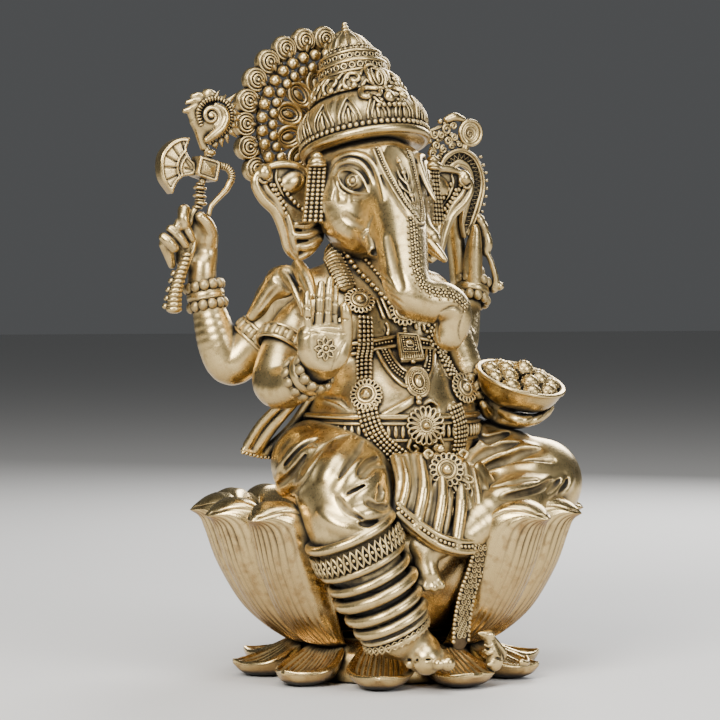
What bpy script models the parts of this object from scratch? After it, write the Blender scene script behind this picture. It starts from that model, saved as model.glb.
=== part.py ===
"""Seated ganesha idol on a double lotus base: brass castings brazed and screwed together.

Origin: lotus axis on the table. +Z up, the figure faces -Y, its own right hand is on -X.
Shapes are worked out in millimetres and scaled to metres when an object is made.
"""
import math

import bmesh
import bpy
from mathutils import Matrix, Vector
from mathutils.bvhtree import BVHTree

# ---- driving dimensions, mm ----
MM = 0.001
GAP = 0.35                      # clearance between neighbouring castings
SOFT_GAP = 0.6                  # clearance where coarse rounded castings meet
JOINT_GAP = 1.0                 # clearance round a grip and between two upper arms
WALL = 3.2                      # wall of the hollow castings

HUB_RADIUS = 40.5
HUB_HEIGHT = 17.0
CORE_RADIUS = 12.0              # opening between the hollow hub and the hollow cup

BASE_PETALS = 10
BASE_PETAL_START = -32.0        # degrees, 0 faces the front, positive to the figure's left
BASE_PETAL_TIP = 64.5
LOTUS_PETALS = 13
LOTUS_PETAL_START = 22.0
LOTUS_PETAL_STEP = 22.4
LOTUS_PETAL_SHEET = 2.2
LOTUS_PETAL_YAW = 2.6           # how far each petal's rear edge stands out over the next one
PETAL_ROWS = 6                  # points along each petal
PETAL_COLUMNS = 5               # points across each petal
LOTUS_PETAL_PROFILE = ((39.5, 18), (51, 26), (60.5, 40), (70.5, 58), (80.5, 70))

SEAT_HEIGHT = 61.5
TORSO_SIDES = 18
TORSO_RINGS = (                 # height, centre x, centre y, half width, half depth
    (61.9, -1, 6, 31, 23),
    (68, -1, 5, 37, 29),
    (78, -1, 3, 38.5, 31),
    (88, -2, -1, 38, 33),
    (98, -3, -5, 36.5, 34),
    (108, -3, -8, 36, 33),
    (118, -3, -8, 35, 31),
    (128, -4, -4, 35, 28),
    (138, -5, 2, 36, 24),
    (148, -5, 7, 37, 20),
    (157, -5, 10, 34, 16),
    (164, -6, 10, 24, 13),
    (169, -6, 9, 15, 11),
)
HEAD_RINGS = (
    (169.6, -6, 6, 13, 11),
    (176, -7, 1, 17, 17),
    (184, -7, 2, 21.5, 21),
    (192, -6, 4, 23.5, 24),
    (200, -6, 6, 25, 26.5),
    (208, -6, 8, 25.5, 27.5),
    (215, -6, 8, 25, 27.5),
    (222, -6, 9, 22, 25),
)

CROWN_BASE = Vector((-6, 8, 214))
CROWN_TIP = Vector((-9, 22, 268))
CROWN_BAND_RADIUS = 27.0
CROWN_BAND_HEIGHT = 4.5

HALO_CENTRE = Vector((-10.5, 38, 225.5))
HALO_RADIUS = 43.0
HALO_FEATHERS = 19
HALO_SHEET = 3.0

BOWL_CENTRE = Vector((43, -28, 110))
BOWL_RADIUS = 18.0
BOWL_DEPTH = 11.0
SWEET_RADIUS = 4.6

SHAFT_LENGTH = 38.0

BRASS = (0.62, 0.44, 0.19)
AXIS_Z = Vector((0, 0, 1))


# ---- scene and material helpers ----
def clear_scene():
    for old in list(bpy.data.objects):
        bpy.data.objects.remove(old, do_unlink=True)


def brass(name, shade, roughness):
    """One Principled brass for one sub-part, lighter or darker by shade."""
    material = bpy.data.materials.new("brass_" + name)
    material.use_nodes = True
    shader = material.node_tree.nodes["Principled BSDF"]
    colour = [channel * shade for channel in BRASS]
    shader.inputs["Base Color"].default_value = (*colour, 1.0)
    shader.inputs["Metallic"].default_value = 1.0
    shader.inputs["Roughness"].default_value = roughness
    return material


def make(name, shape, place=(0, 0, 0), shade=1.0, roughness=0.34, crease=42.0):
    """Turn a millimetre bmesh into a named object whose origin is at place."""
    place = Vector(place)
    bmesh.ops.translate(shape, verts=shape.verts, vec=-place)
    bmesh.ops.scale(shape, verts=shape.verts, vec=(MM, MM, MM))
    bmesh.ops.recalc_face_normals(shape, faces=shape.faces)
    mesh = bpy.data.meshes.new(name)
    shape.to_mesh(mesh)
    shape.free()
    mesh.shade_smooth()
    mesh.set_sharp_from_angle(angle=math.radians(crease))
    mesh.materials.append(brass(name, shade, roughness))
    piece = bpy.data.objects.new(name, mesh)
    piece.location = place * MM
    bpy.context.collection.objects.link(piece)
    bpy.context.view_layer.update()
    return piece


def evaluated_mesh(piece):
    depsgraph = bpy.context.evaluated_depsgraph_get()
    return bpy.data.meshes.new_from_object(piece.evaluated_get(depsgraph))


def keep_largest_body(mesh):
    """Drop the slivers that a cut leaves beside the main body."""
    shape = bmesh.new()
    shape.from_mesh(mesh)
    unseen = set(shape.verts)
    bodies = []
    while unseen:
        body = {unseen.pop()}
        frontier = list(body)
        while frontier:
            vert = frontier.pop()
            for edge in vert.link_edges:
                other = edge.other_vert(vert)
                if other in unseen:
                    unseen.remove(other)
                    body.add(other)
                    frontier.append(other)
        bodies.append(body)
    bodies.sort(key=len)
    for body in bodies[:-1]:
        bmesh.ops.delete(shape, geom=list(body), context="VERTS")
    shape.to_mesh(mesh)
    shape.free()


def apply_boolean(piece, tool, operation):
    """Apply one exact Boolean between two objects and keep one body."""
    modifier = piece.modifiers.new(operation, "BOOLEAN")
    modifier.operation = operation
    modifier.solver = "EXACT"
    modifier.use_self = True
    modifier.object = tool
    mesh = evaluated_mesh(piece)
    piece.modifiers.clear()
    mesh.name = piece.name
    piece.data = mesh
    keep_largest_body(mesh)
    mesh.shade_smooth()
    mesh.set_sharp_from_angle(angle=math.radians(42.0))
    bpy.context.view_layer.update()


def swollen_copy(piece, clearance):
    """A cutter: the piece with every vertex pushed out along its normal."""
    mesh = piece.data.copy()
    normals = [vert.normal.copy() for vert in mesh.vertices]
    for vert, normal in zip(mesh.vertices, normals):
        vert.co += normal * clearance * MM
    cutter = bpy.data.objects.new("cutter", mesh)
    cutter.matrix_world = piece.matrix_world.copy()
    cutter.hide_render = True
    cutter.display_type = "WIRE"
    bpy.context.collection.objects.link(cutter)
    bpy.context.view_layer.update()
    return cutter


def carve(piece, *neighbours, clearance=GAP):
    """Cut each neighbour out of the piece, with the casting gap left between them."""
    for neighbour in neighbours:
        cutter = swollen_copy(neighbour, clearance)
        apply_boolean(piece, cutter, "DIFFERENCE")
        bpy.data.objects.remove(cutter, do_unlink=True)


def fuse(piece, *shapes):
    """Join more millimetre shapes to an object as one body."""
    for shape in shapes:
        extra = make("extra", shape)
        apply_boolean(piece, extra, "UNION")
        bpy.data.objects.remove(extra, do_unlink=True)


# ---- shape helpers: each returns a millimetre bmesh ----
def bridge(shape, first, second):
    """Quads between two rings of the same length."""
    count = len(first)
    for i in range(count):
        j = (i + 1) % count
        shape.faces.new((first[i], first[j], second[j], second[i]))


def close_fan(shape, ring, tip):
    point = shape.verts.new(tip)
    count = len(ring)
    for i in range(count):
        shape.faces.new((ring[i], ring[(i + 1) % count], point))


def ring_points(centre, across, up, half_across, half_up, sides):
    turns = [2 * math.pi * i / sides for i in range(sides)]
    return [centre + across * (half_across * math.cos(a)) + up * (half_up * math.sin(a)) for a in turns]


def loft(rings, bottom=None, top=None):
    """Skin through rings of points; an end is a flat cap, or a fan to a tip point."""
    shape = bmesh.new()
    loops = [[shape.verts.new(point) for point in ring] for ring in rings]
    for first, second in zip(loops, loops[1:]):
        bridge(shape, first, second)
    for loop, tip in ((loops[0], bottom), (loops[-1], top)):
        if tip is None:
            shape.faces.new(loop)
        else:
            close_fan(shape, loop, tip)
    bmesh.ops.recalc_face_normals(shape, faces=shape.faces)
    return shape


def directions_along(points):
    """Unit tangents of a path of points."""
    tangents = []
    for i in range(len(points)):
        before = points[max(i - 1, 0)]
        after = points[min(i + 1, len(points) - 1)]
        tangents.append((after - before).normalized())
    return tangents


def smooth_path(points, per_span):
    """Catmull-Rom curve through the points."""
    padded = [points[0] * 2 - points[1], *points, points[-1] * 2 - points[-2]]
    path = []
    for i in range(1, len(padded) - 2):
        for step in range(per_span):
            t = step / per_span
            a, b, c, d = padded[i - 1:i + 3]
            linear = (c - a) * t
            square = (a * 2 - b * 5 + c * 4 - d) * t ** 2
            cube = (b * 3 - a - c * 3 + d) * t ** 3
            path.append((b * 2 + linear + square + cube) / 2)
    path.append(points[-1])
    return path


def limb(stations, sides=10, per_span=1, flatten=1.0, flat_axis=AXIS_Z, caps=2):
    """A round-ended tube through stations (x, y, z, radius)."""
    spots = smooth_path([Vector((*station[:3], station[3])) .to_4d() for station in stations], per_span)
    centres = [Vector(spot[:3]) for spot in spots]
    radii = [spot[3] for spot in spots]
    tangents = directions_along(centres)
    side = tangents[0].cross(flat_axis)
    side = side.normalized() if side.length > 0.1 else Vector((1, 0, 0))
    rings = []
    frames = []
    for centre, radius, tangent in zip(centres, radii, tangents):
        side = (side - tangent * side.dot(tangent)).normalized()
        up = side.cross(tangent)
        frames.append((side, up, tangent))
        rings.append(ring_points(centre, side, up, radius, radius * flatten, sides))
    start = end_cap(centres[0], radii[0], frames[0], -1, flatten, sides, caps)
    finish = end_cap(centres[-1], radii[-1], frames[-1], 1, flatten, sides, caps)
    reach = min(1.0, flatten)
    first_tip = centres[0] - tangents[0] * radii[0] * reach
    last_tip = centres[-1] + tangents[-1] * radii[-1] * reach
    return loft([*reversed(start), *rings, *finish], first_tip, last_tip)


def end_cap(centre, radius, frame, sign, flatten, sides, caps):
    """Shrinking rings that round off the end of a limb."""
    side, up, tangent = frame
    reach = min(1.0, flatten)
    rings = []
    for i in range(1, caps + 1):
        angle = 0.5 * math.pi * i / (caps + 1)
        here = centre + tangent * (sign * radius * reach * math.sin(angle))
        shrink = radius * math.cos(angle)
        rings.append(ring_points(here, side, up, shrink, shrink * flatten, sides))
    return rings


def ball(centre, radii, segments=10, rings=6):
    shape = bmesh.new()
    bmesh.ops.create_uvsphere(shape, u_segments=segments, v_segments=rings, radius=1.0)
    frame = Matrix.Translation(centre) @ Matrix.Diagonal((*radii, 1.0))
    bmesh.ops.transform(shape, matrix=frame, verts=shape.verts)
    return shape


def frame_along(base, axis):
    """A frame at base whose z runs along axis."""
    turn = AXIS_Z.rotation_difference(Vector(axis).normalized()).to_matrix().to_4x4()
    return Matrix.Translation(base) @ turn


def turned(profile, frame=None, segments=24):
    """Turn a profile of (radius, height) points; a point on the axis becomes a pole."""
    shape = bmesh.new()
    loops = []
    for radius, height in profile:
        if radius == 0:
            loops.append([shape.verts.new((0, 0, height))])
            continue
        across = Vector((1, 0, 0))
        along = Vector((0, 1, 0))
        points = ring_points(Vector((0, 0, height)), across, along, radius, radius, segments)
        loops.append([shape.verts.new(point) for point in points])
    pairs = list(zip(loops, loops[1:]))
    if profile[0][0] > 0:
        pairs.append((loops[-1], loops[0]))
    for first, second in pairs:
        join_loops(shape, first, second)
    bmesh.ops.recalc_face_normals(shape, faces=shape.faces)
    if frame is not None:
        bmesh.ops.transform(shape, matrix=frame, verts=shape.verts)
    return shape


def join_loops(shape, first, second):
    if len(first) == len(second):
        bridge(shape, first, second)
        return
    pole = first[0] if len(first) == 1 else second[0]
    ring = second if len(first) == 1 else first
    for i in range(len(ring)):
        shape.faces.new((ring[i], ring[(i + 1) % len(ring)], pole))


def torus(centre, axis, major, minor, sides=24, ring_sides=7):
    profile = []
    for i in range(ring_sides):
        angle = 2 * math.pi * i / ring_sides
        profile.append((major + minor * math.cos(angle), minor * math.sin(angle)))
    return turned(profile, frame_along(Vector(centre), axis), sides)


def plate(outline, thickness, frame):
    """An extruded outline; the frame's z is the plate's front."""
    front = [Vector((x, y, thickness / 2)) for x, y in outline]
    back = [Vector((x, y, -thickness / 2)) for x, y in outline]
    shape = loft([back, front])
    bmesh.ops.transform(shape, matrix=frame, verts=shape.verts)
    return shape


def front_frame(centre, yaw=0.0, lean=0.0):
    """A plate frame that faces the front: its x is the world's x, its y is up."""
    turn = Matrix.Rotation(math.radians(yaw), 4, "Z") @ Matrix.Rotation(math.radians(90 + lean), 4, "X")
    return Matrix.Translation(centre) @ turn


def sheet(rows, thickness):
    """A thick sheet from a grid of points, rows by columns, thickened along its normals."""
    normals = grid_normals(rows)
    shape = bmesh.new()
    faces = []
    for sign in (0.5, -0.5):
        side = []
        for row, row_normals in zip(rows, normals):
            shifted = [point + normal * thickness * sign for point, normal in zip(row, row_normals)]
            side.append([shape.verts.new(point) for point in shifted])
        faces.append(side)
    for side in faces:
        for upper, lower in zip(side, side[1:]):
            for i in range(len(upper) - 1):
                shape.faces.new((upper[i], upper[i + 1], lower[i + 1], lower[i]))
    edges = [grid_border(side) for side in faces]
    bridge(shape, edges[0], edges[1])
    bmesh.ops.recalc_face_normals(shape, faces=shape.faces)
    return shape


def grid_normals(rows):
    normals = []
    last_row = len(rows) - 1
    for i, row in enumerate(rows):
        line = []
        for j in range(len(row)):
            across = row[min(j + 1, len(row) - 1)] - row[max(j - 1, 0)]
            along = rows[min(i + 1, last_row)][j] - rows[max(i - 1, 0)][j]
            line.append(across.cross(along).normalized())
        normals.append(line)
    return normals


def grid_border(grid):
    """The grid's outer vertices in order."""
    top = grid[0]
    right = [row[-1] for row in grid[1:]]
    bottom = list(reversed(grid[-1]))[1:]
    left = [row[0] for row in reversed(grid[1:-1])]
    return [*top, *right, *bottom, *left]


def profile_at(profile, t):
    """A point on a smooth curve through (radius, height) points, t from 0 to 1."""
    spots = [Vector((radius, height, 0)) for radius, height in profile]
    steps = 12
    path = smooth_path(spots, steps)
    place = t * (len(path) - 1)
    low = min(int(place), len(path) - 2)
    return path[low].lerp(path[low + 1], place - low)


def compass(degrees):
    """Outward and sideways directions at an angle from the front."""
    angle = math.radians(degrees)
    outward = Vector((math.sin(angle), -math.cos(angle), 0))
    sideways = Vector((math.cos(angle), math.sin(angle), 0))
    return outward, sideways


# ---- lotus base ----
def build_base_hub():
    """Hollow drum with a closing plate at the table, open upwards into the cup."""
    ceiling = HUB_HEIGHT - WALL
    profile = (
        (0, 0), (HUB_RADIUS, 0), (HUB_RADIUS, 11), (31, HUB_HEIGHT), (CORE_RADIUS, HUB_HEIGHT),
        (CORE_RADIUS, ceiling), (29, ceiling), (HUB_RADIUS - WALL, 9), (HUB_RADIUS - WALL, WALL), (0, WALL),
    )
    return make("base_hub", turned(profile, segments=28), (0, 0, 0), 0.8)


def petal_width(t, base, widest, tip):
    """Half width along a petal: narrow foot, broad shoulder, rounded tip."""
    shoulder = 0.62
    if t < shoulder:
        rise = math.sin(0.5 * math.pi * t / shoulder)
        return base + (widest - base) * rise
    fall = math.cos(0.5 * math.pi * (t - shoulder) / (1 - shoulder))
    return tip + (widest - tip) * fall ** 0.7


def build_base_petal(index):
    """A spoon-shaped leaf from the hub down to the table."""
    outward, sideways = compass(BASE_PETAL_START + 360 / BASE_PETALS * index)
    profile = ((41.6, 13.2), (48, 11.5), (57, 6.8), (BASE_PETAL_TIP - 0.6, 2.4))
    rows = []
    for i in range(PETAL_ROWS):
        t = i / (PETAL_ROWS - 1)
        spot = profile_at(profile, t)
        half = petal_width(t, 8.5, 12.8, 2.5)
        row = []
        for j in range(PETAL_COLUMNS):
            u = 2 * j / (PETAL_COLUMNS - 1) - 1
            droop = 1.6 * u * u * (1 - t)
            row.append(outward * (spot.x - 1.2 * u * u) + sideways * half * u + AXIS_Z * (spot.y - droop))
        rows.append(row)
    place = outward * 52 + AXIS_Z * 8
    return make(f"base_petal_{index + 1:02d}", sheet(rows, 3.4), place, 0.95)


def build_lotus_cup():
    """Hollow bowl that carries the upper petals and the seat, open below."""
    floor = HUB_HEIGHT + GAP
    inner_top = SEAT_HEIGHT - WALL
    profile = (
        (CORE_RADIUS, floor), (27, floor), (39.5, 26), (48.5, 38), (54, 50), (55.5, SEAT_HEIGHT), (0, SEAT_HEIGHT),
    )
    hollow = (
        (0, inner_top), (52, inner_top), (45.2, 39.5), (36.5, 28.5), (26, floor + WALL),
        (CORE_RADIUS, floor + WALL),
    )
    shape = bmesh.new()
    loops = []
    for radius, height in (*reversed(profile), *reversed(hollow)):
        if radius == 0:
            loops.append([shape.verts.new((0, 0, height))])
            continue
        points = ring_points(Vector((0, 0, height)), Vector((1, 0, 0)), Vector((0, 1, 0)), radius, radius, 28)
        loops.append([shape.verts.new(point) for point in points])
    for first, second in zip(loops, loops[1:]):
        join_loops(shape, first, second)
    return make("lotus_cup", shape, (0, 0, SEAT_HEIGHT), 0.7)


def lotus_petal_yaw(index):
    """Petals lap over the next one towards the rear, from both sides of the front gap."""
    rearmost = LOTUS_PETALS // 2
    if index == rearmost:
        return 0.0
    return LOTUS_PETAL_YAW if index < rearmost else -LOTUS_PETAL_YAW


def build_lotus_petal(index):
    """A big cupped petal with broad shoulders and an outward tip."""
    outward, sideways = compass(LOTUS_PETAL_START + LOTUS_PETAL_STEP * index)
    yaw = lotus_petal_yaw(index)
    inset = 1.6 if index == LOTUS_PETALS // 2 else 0.0
    rows = []
    for i in range(PETAL_ROWS):
        t = i / (PETAL_ROWS - 1)
        spot = profile_at(LOTUS_PETAL_PROFILE, t)
        half = petal_width(t, 6.5, 13.6, 2.6)
        row = []
        for j in range(PETAL_COLUMNS):
            u = 2 * j / (PETAL_COLUMNS - 1) - 1
            curl = 3.6 * u * u * (1 - 0.5 * t)
            lap = yaw * u * half / 13.6
            reach = spot.x - curl + lap - inset
            row.append(outward * reach + sideways * half * u + AXIS_Z * spot.y)
        rows.append(row)
    place = outward * 60 + AXIS_Z * 40
    return make(f"lotus_petal_{index + 1:02d}", sheet(rows, LOTUS_PETAL_SHEET), place)


def lap_lotus_petals(petals):
    """Each petal gives way to the one in front of it, from both sides to the rearmost."""
    rearmost = len(petals) // 2
    for index in range(rearmost):
        carve(petals[index + 1], petals[index])
        carve(petals[-index - 2], petals[-index - 1])


# ---- figure ----
def stacked(rings, sides, shrink=0.0):
    across = Vector((1, 0, 0))
    along = Vector((0, 1, 0))
    loops = []
    for height, x, y, half_width, half_depth in rings:
        centre = Vector((x, y, height))
        loops.append(ring_points(centre, across, along, half_width - shrink, half_depth - shrink, sides))
    return loops


def build_torso():
    """Belly, chest and shoulders, cast hollow and open underneath."""
    sides = TORSO_SIDES
    outer = stacked(TORSO_RINGS, sides)
    inner = stacked(TORSO_RINGS[:-2:2], sides, WALL)
    mouth = stacked([(TORSO_RINGS[0][0], -1, 6, 20, 14)], sides)[0]
    lip = [point + AXIS_Z * WALL for point in mouth]
    inner_roof = Vector((-5, 10, 159))
    shape = bmesh.new()
    order = [list(reversed(outer)), [mouth, lip], inner[1:]]
    loops = [[shape.verts.new(point) for point in ring] for group in order for ring in group]
    for first, second in zip(loops, loops[1:]):
        bridge(shape, first, second)
    shape.faces.new(loops[0])
    close_fan(shape, loops[-1], inner_roof)
    return make("torso", shape, (-3, -8, 108))


def crown_frame():
    return frame_along(CROWN_BASE, CROWN_TIP - CROWN_BASE)


def build_head():
    """Face and cheeks, cut square to the crown."""
    head = make("head", loft(stacked(HEAD_RINGS, 18)), (-6, 8, 198))
    above = turned(((0, -GAP), (60, -GAP), (60, 40), (0, 40)), crown_frame(), 24)
    cutter = make("cutter", above)
    apply_boolean(head, cutter, "DIFFERENCE")
    bpy.data.objects.remove(cutter, do_unlink=True)
    return head


def build_trunk(head):
    """Trunk from the brow, down over the chest, curling up at its tip."""
    stations = (
        (-9, -13, 195, 12), (-10, -24, 188, 11), (-11.5, -33, 179, 9.5), (-13.5, -42, 168, 8.4),
        (-14.6, -48.8, 158, 7.2), (-12.5, -53, 149, 6.2), (-7.5, -54.5, 142.5, 5.5), (-1, -54, 138.8, 4.9),
        (5.5, -52, 139.5, 4.4), (9, -50, 144.5, 3.9), (8, -49, 150, 3.4),
    )
    trunk = make("trunk", limb(stations, 12), (-14.6, -48.8, 158))
    carve(trunk, head)
    return trunk


def build_tusk(side, head, trunk):
    """side is -1 for the broken right tusk and 1 for the long left one."""
    if side < 0:
        stations = ((-19, -19, 181, 4.0), (-21, -25.5, 177, 3.6), (-22, -30, 173, 3.1))
        name = "tusk_right"
    else:
        stations = ((5, -19, 181, 4.0), (8, -25, 177.5, 3.5), (10.5, -31, 173, 2.7), (12, -36, 170.5, 1.6))
        name = "tusk_left"
    tusk = make(name, limb(stations, 10), stations[0][:3], 1.1)
    carve(tusk, head, trunk)
    return tusk


def build_ear(side, head):
    """A broad ear flap with a lobe, mirrored across the face."""
    outline = (
        (20, 16), (27, 19.5), (37, 19), (44.5, 14), (47, 6), (46, -3), (42.5, -12), (38, -20), (33.5, -28.5),
        (30, -30.5), (27, -27), (25.5, -18), (21.5, -12),
    )
    flap = [(x * side, z) for x, z in outline]
    if side > 0:
        flap.reverse()
    name = "ear_right" if side < 0 else "ear_left"
    centre = Vector((-6, 10, 193))
    shape = plate(flap, 4.4, front_frame(centre, yaw=6 * side))
    ear = make(name, shape, centre + Vector((34 * side, 0, 0)))
    carve(ear, head)
    return ear


def build_crown():
    """Headband, bulbous lower dome and the stacked spire, all on the leaning crown axis."""
    frame = crown_frame()
    height = (CROWN_TIP - CROWN_BASE).length
    band_top = CROWN_BAND_HEIGHT
    radius = CROWN_BAND_RADIUS
    band = turned(((0, 0), (radius - 0.6, 0), (radius, 1.4), (radius, 3.1), (radius - 0.8, band_top),
                   (0, band_top)), frame, 26)
    foot = band_top + GAP
    dome = turned(((0, foot), (radius - 1.2, foot), (radius - 0.4, 8), (radius - 1.6, 13), (radius - 4.5, 18),
                   (18, 22), (19, 25.5), (16.5, 29.5), (0, 29.5)), frame, 26)
    neck = 29.5 + GAP
    spire = turned(((0, neck), (14.4, neck), (14.6, 34), (13.4, 34.6), (13.4, 38.5), (11.4, 39.2),
                    (11.4, 41.6), (9.6, 42), (9.2, 45.5), (6.5, 49.5), (2.6, 52), (1.8, 53.4), (2.2, height - 1.6),
                    (0, height)), frame, 18)
    return (
        make("crown_band", band, CROWN_BASE, 1.05),
        make("crown_dome", dome, CROWN_BASE + (CROWN_TIP - CROWN_BASE) * 0.2),
        make("crown_spire", spire, CROWN_BASE + (CROWN_TIP - CROWN_BASE) * 0.6, 1.05),
    )


def build_halo(*neighbours):
    """Disc of feathers behind the crown, with a scalloped rim."""
    outline = []
    per_feather = 3
    for i in range(HALO_FEATHERS * per_feather):
        angle = 2 * math.pi * i / (HALO_FEATHERS * per_feather)
        lobe = abs(math.sin(0.5 * angle * HALO_FEATHERS))
        reach = HALO_RADIUS - 2.4 + 2.4 * lobe
        outline.append((reach * math.sin(angle), reach * math.cos(angle)))
    halo = make("halo", plate(list(reversed(outline)), HALO_SHEET, front_frame(HALO_CENTRE)), HALO_CENTRE)
    carve(halo, *neighbours)
    return halo


def build_tassel(side, *neighbours):
    """Strip of bead rows hanging from the crown in front of each ear."""
    top = Vector((-6 + 25.5 * side, -1.5, 208))
    foot = Vector((-6 + 28 * side, -1.5, 187.5))
    rows = []
    for i in range(8):
        t = i / 7
        bead = 0.35 * math.cos(math.pi * i)
        middle = top.lerp(foot, t) + Vector((0.5 * side * bead, -bead, 0))
        across = Vector((3.4 * side, 1.6, 0))
        rows.append([middle - across, middle, middle + across])
    name = "tassel_right" if side < 0 else "tassel_left"
    tassel = make(name, sheet(rows, 2.6), top, 1.05)
    carve(tassel, *neighbours)
    return tassel


def build_arm(name, stations, extras, neighbours, clearance=SOFT_GAP):
    arm = make(name, limb(stations, 10), stations[0][:3])
    fuse(arm, *extras)
    carve(arm, *neighbours, clearance=clearance)
    return arm


def fist(centre, reach):
    """Closed hand: a rounded palm with four curled fingers across it."""
    centre = Vector(centre)
    shapes = [ball(centre, (reach, reach * 0.85, reach))]
    for i in range(4):
        height = centre.z + (1.5 - i) * reach * 0.45
        shapes.append(limb((
            (centre.x - reach * 0.7, centre.y - reach * 0.55, height, reach * 0.27),
            (centre.x, centre.y - reach * 0.95, height, reach * 0.27),
            (centre.x + reach * 0.7, centre.y - reach * 0.5, height, reach * 0.25),
        ), 5, caps=1))
    return shapes


def shaft_tail():
    """The foot of the axe shaft, cast with the hand below its grip."""
    return limb(((-77.5, 24, 170, 2.2), (-81, 23, 160, 2.4), (-83.5, 22, 149.5, 2.0)), 6, caps=1)


def blessing_hand():
    """Raised open right hand, palm to the front."""
    shapes = [ball((-49.8, -37, 139), (8.6, 4.6, 11.5))]
    tips = ((-55.6, 158.5), (-51.6, 164), (-47.4, 165.5), (-43.2, 161.5))
    for i, (tip_x, tip_z) in enumerate(tips):
        root_x = -54.6 + 3.3 * i
        shapes.append(limb((
            (root_x, -37, 143, 2.2), ((root_x + tip_x) / 2, -37.6, (146 + tip_z) / 2, 2.15), (tip_x, -36, tip_z, 1.7),
        ), 6, caps=1))
    shapes.append(limb(((-43.5, -38, 134, 3.0), (-39.8, -39.5, 141, 2.5), (-38.8, -39.5, 148, 1.9)), 6, caps=1))
    return shapes


def cupped_hand():
    """Left hand under the sweets bowl: palm and four fingers."""
    shapes = [ball((46, -24, 103.5), (9.5, 9.5, 3.6))]
    for i in range(4):
        x = 38.5 + 4.6 * i
        shapes.append(limb(((x, -28, 102.6, 2.1), (x - 0.5, -36, 102.8, 2.0), (x - 1, -43, 105.6, 1.7)), 6, caps=1))
    return shapes


def build_arms(torso, head):
    upper_right = build_arm("arm_upper_right", (
        (-35, 12, 153, 12), (-48, 15, 141, 10.5), (-60, 20, 127, 9.2), (-66.5, 23.5, 138, 7.6),
        (-70, 26, 153, 6), (-72, 28, 166, 6.2),
    ), [*fist((-73, 27, 174), 8.4), shaft_tail()], (torso, head))
    upper_left = build_arm("arm_upper_left", (
        (24, 12, 153, 12), (37, 11, 143, 10), (47, 12, 131.5, 8.6), (54, 18, 142, 7.2),
        (59.5, 27, 156, 5.7), (58.5, 28, 168, 6),
    ), fist((58, 27, 175.5), 7.8), (torso, head))
    lower_right = build_arm("arm_lower_right", (
        (-34, 1, 147, 10.5), (-49, -2, 133, 9.6), (-59.5, -6, 119.5, 8.8), (-56.5, -20, 119, 7.4),
        (-51, -32, 123, 6), (-50, -36.5, 131, 6.4),
    ), blessing_hand(), (torso, upper_right), JOINT_GAP)
    lower_left = build_arm("arm_lower_left", (
        (24, 0, 147, 10.5), (38, -1, 131, 9.6), (49.5, -3, 116, 8.6), (50, -13, 106, 6.8), (47, -22, 103, 5.6),
    ), cupped_hand(), (torso, upper_left), JOINT_GAP)
    return upper_right, upper_left, lower_right, lower_left


def build_bangle(name, centre, axis, wrist, arm):
    """Stack of beaded rings round a wrist, turned as one corrugated ring."""
    bead = 1.9
    inner = wrist + SOFT_GAP
    profile = [(inner, -5.2), (inner + 1.2, -5.2)]
    for height in (-2.4, 0, 2.4):
        groove = 1.2 if height == 0 else 0
        profile.append((inner + 1.6 + bead - groove, height))
    profile += [(inner + 1.2, 5.2), (inner, 5.2)]
    ring = make(name, turned(profile, frame_along(Vector(centre), axis), 16), centre, 1.05)
    carve(ring, arm)
    return ring


def build_legs(*neighbours):
    """Right leg hangs down in front; the left leg is folded, its foot hanging at the middle."""
    right = make("leg_right", limb((
        (-12, -6, 82, 18), (-30, -22, 80, 18.5), (-45, -35, 75, 16.5), (-39, -46.5, 58, 14), (-29, -51, 44, 12),
        (-20, -53.5, 33, 10), (-15, -56, 24, 8.4), (-16.5, -62, 17.5, 6.6), (-19, -69, 14, 5.2),
    ), 12), (-45, -35, 75))
    left = make("leg_left", limb((
        (12, -6, 82, 17), (32, -17, 83, 16.5), (56, -30, 79, 13.5), (50, -41, 76, 12), (32, -49, 71, 11.5),
        (14, -54, 65, 10.5), (1, -55, 58, 8.2), (-8, -55.5, 50, 6.8), (-12.5, -58, 40, 5),
    ), 12), (56, -30, 79))
    carve(right, *neighbours, clearance=SOFT_GAP)
    carve(left, *neighbours, right, clearance=SOFT_GAP)
    return right, left


def build_apron(*neighbours):
    """Pleated front cloth between the knees."""
    rows = []
    for i in range(4):
        t = i / 3
        row = []
        for j in range(13):
            u = j / 12
            x = -21 + 36 * u - 2 * t
            bulge = math.sin(math.pi * u)
            pleat = 0.7 * math.cos(math.pi * j)
            y = -47 - 8 * bulge - 13.5 * t + pleat
            z = 88 - 20 * t - 5 * bulge * t - 4 * u
            row.append(Vector((x, y, z)))
        rows.append(row)
    apron = make("apron_drape", sheet(rows, 1.8), (-3, -60, 76))
    carve(apron, *neighbours)
    return apron


def build_sash(*neighbours):
    """Sash tail falling behind the right hip."""
    top = Vector((-41, -4, 110))
    foot = Vector((-61, 6, 88))
    width = Vector((5.5, -7.5, 5.0))
    rows = []
    for i in range(5):
        t = i / 4
        middle = top.lerp(foot, t) + Vector((-2, -2, 3)) * math.sin(math.pi * t)
        rows.append([middle + width * (j - 1) for j in range(3)])
    sash = make("sash_tail", sheet(rows, 2.0), top)
    carve(sash, *neighbours)
    return sash


def build_lace(*neighbours):
    """Openwork tail hanging from the apron's left corner down to the base."""
    top = Vector((8, -62, 55))
    foot = Vector((-1.5, -62, 20))
    rows = []
    for i in range(6):
        t = i / 5
        middle = top.lerp(foot, t) + Vector((0, 3.0 * math.sin(math.pi * t), 0))
        across = Vector((4.2, 1.2, 0))
        rows.append([middle - across, middle, middle + across])
    lace = make("lace_tail", sheet(rows, 1.8), top)
    carve(lace, *neighbours)
    return lace


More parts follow.
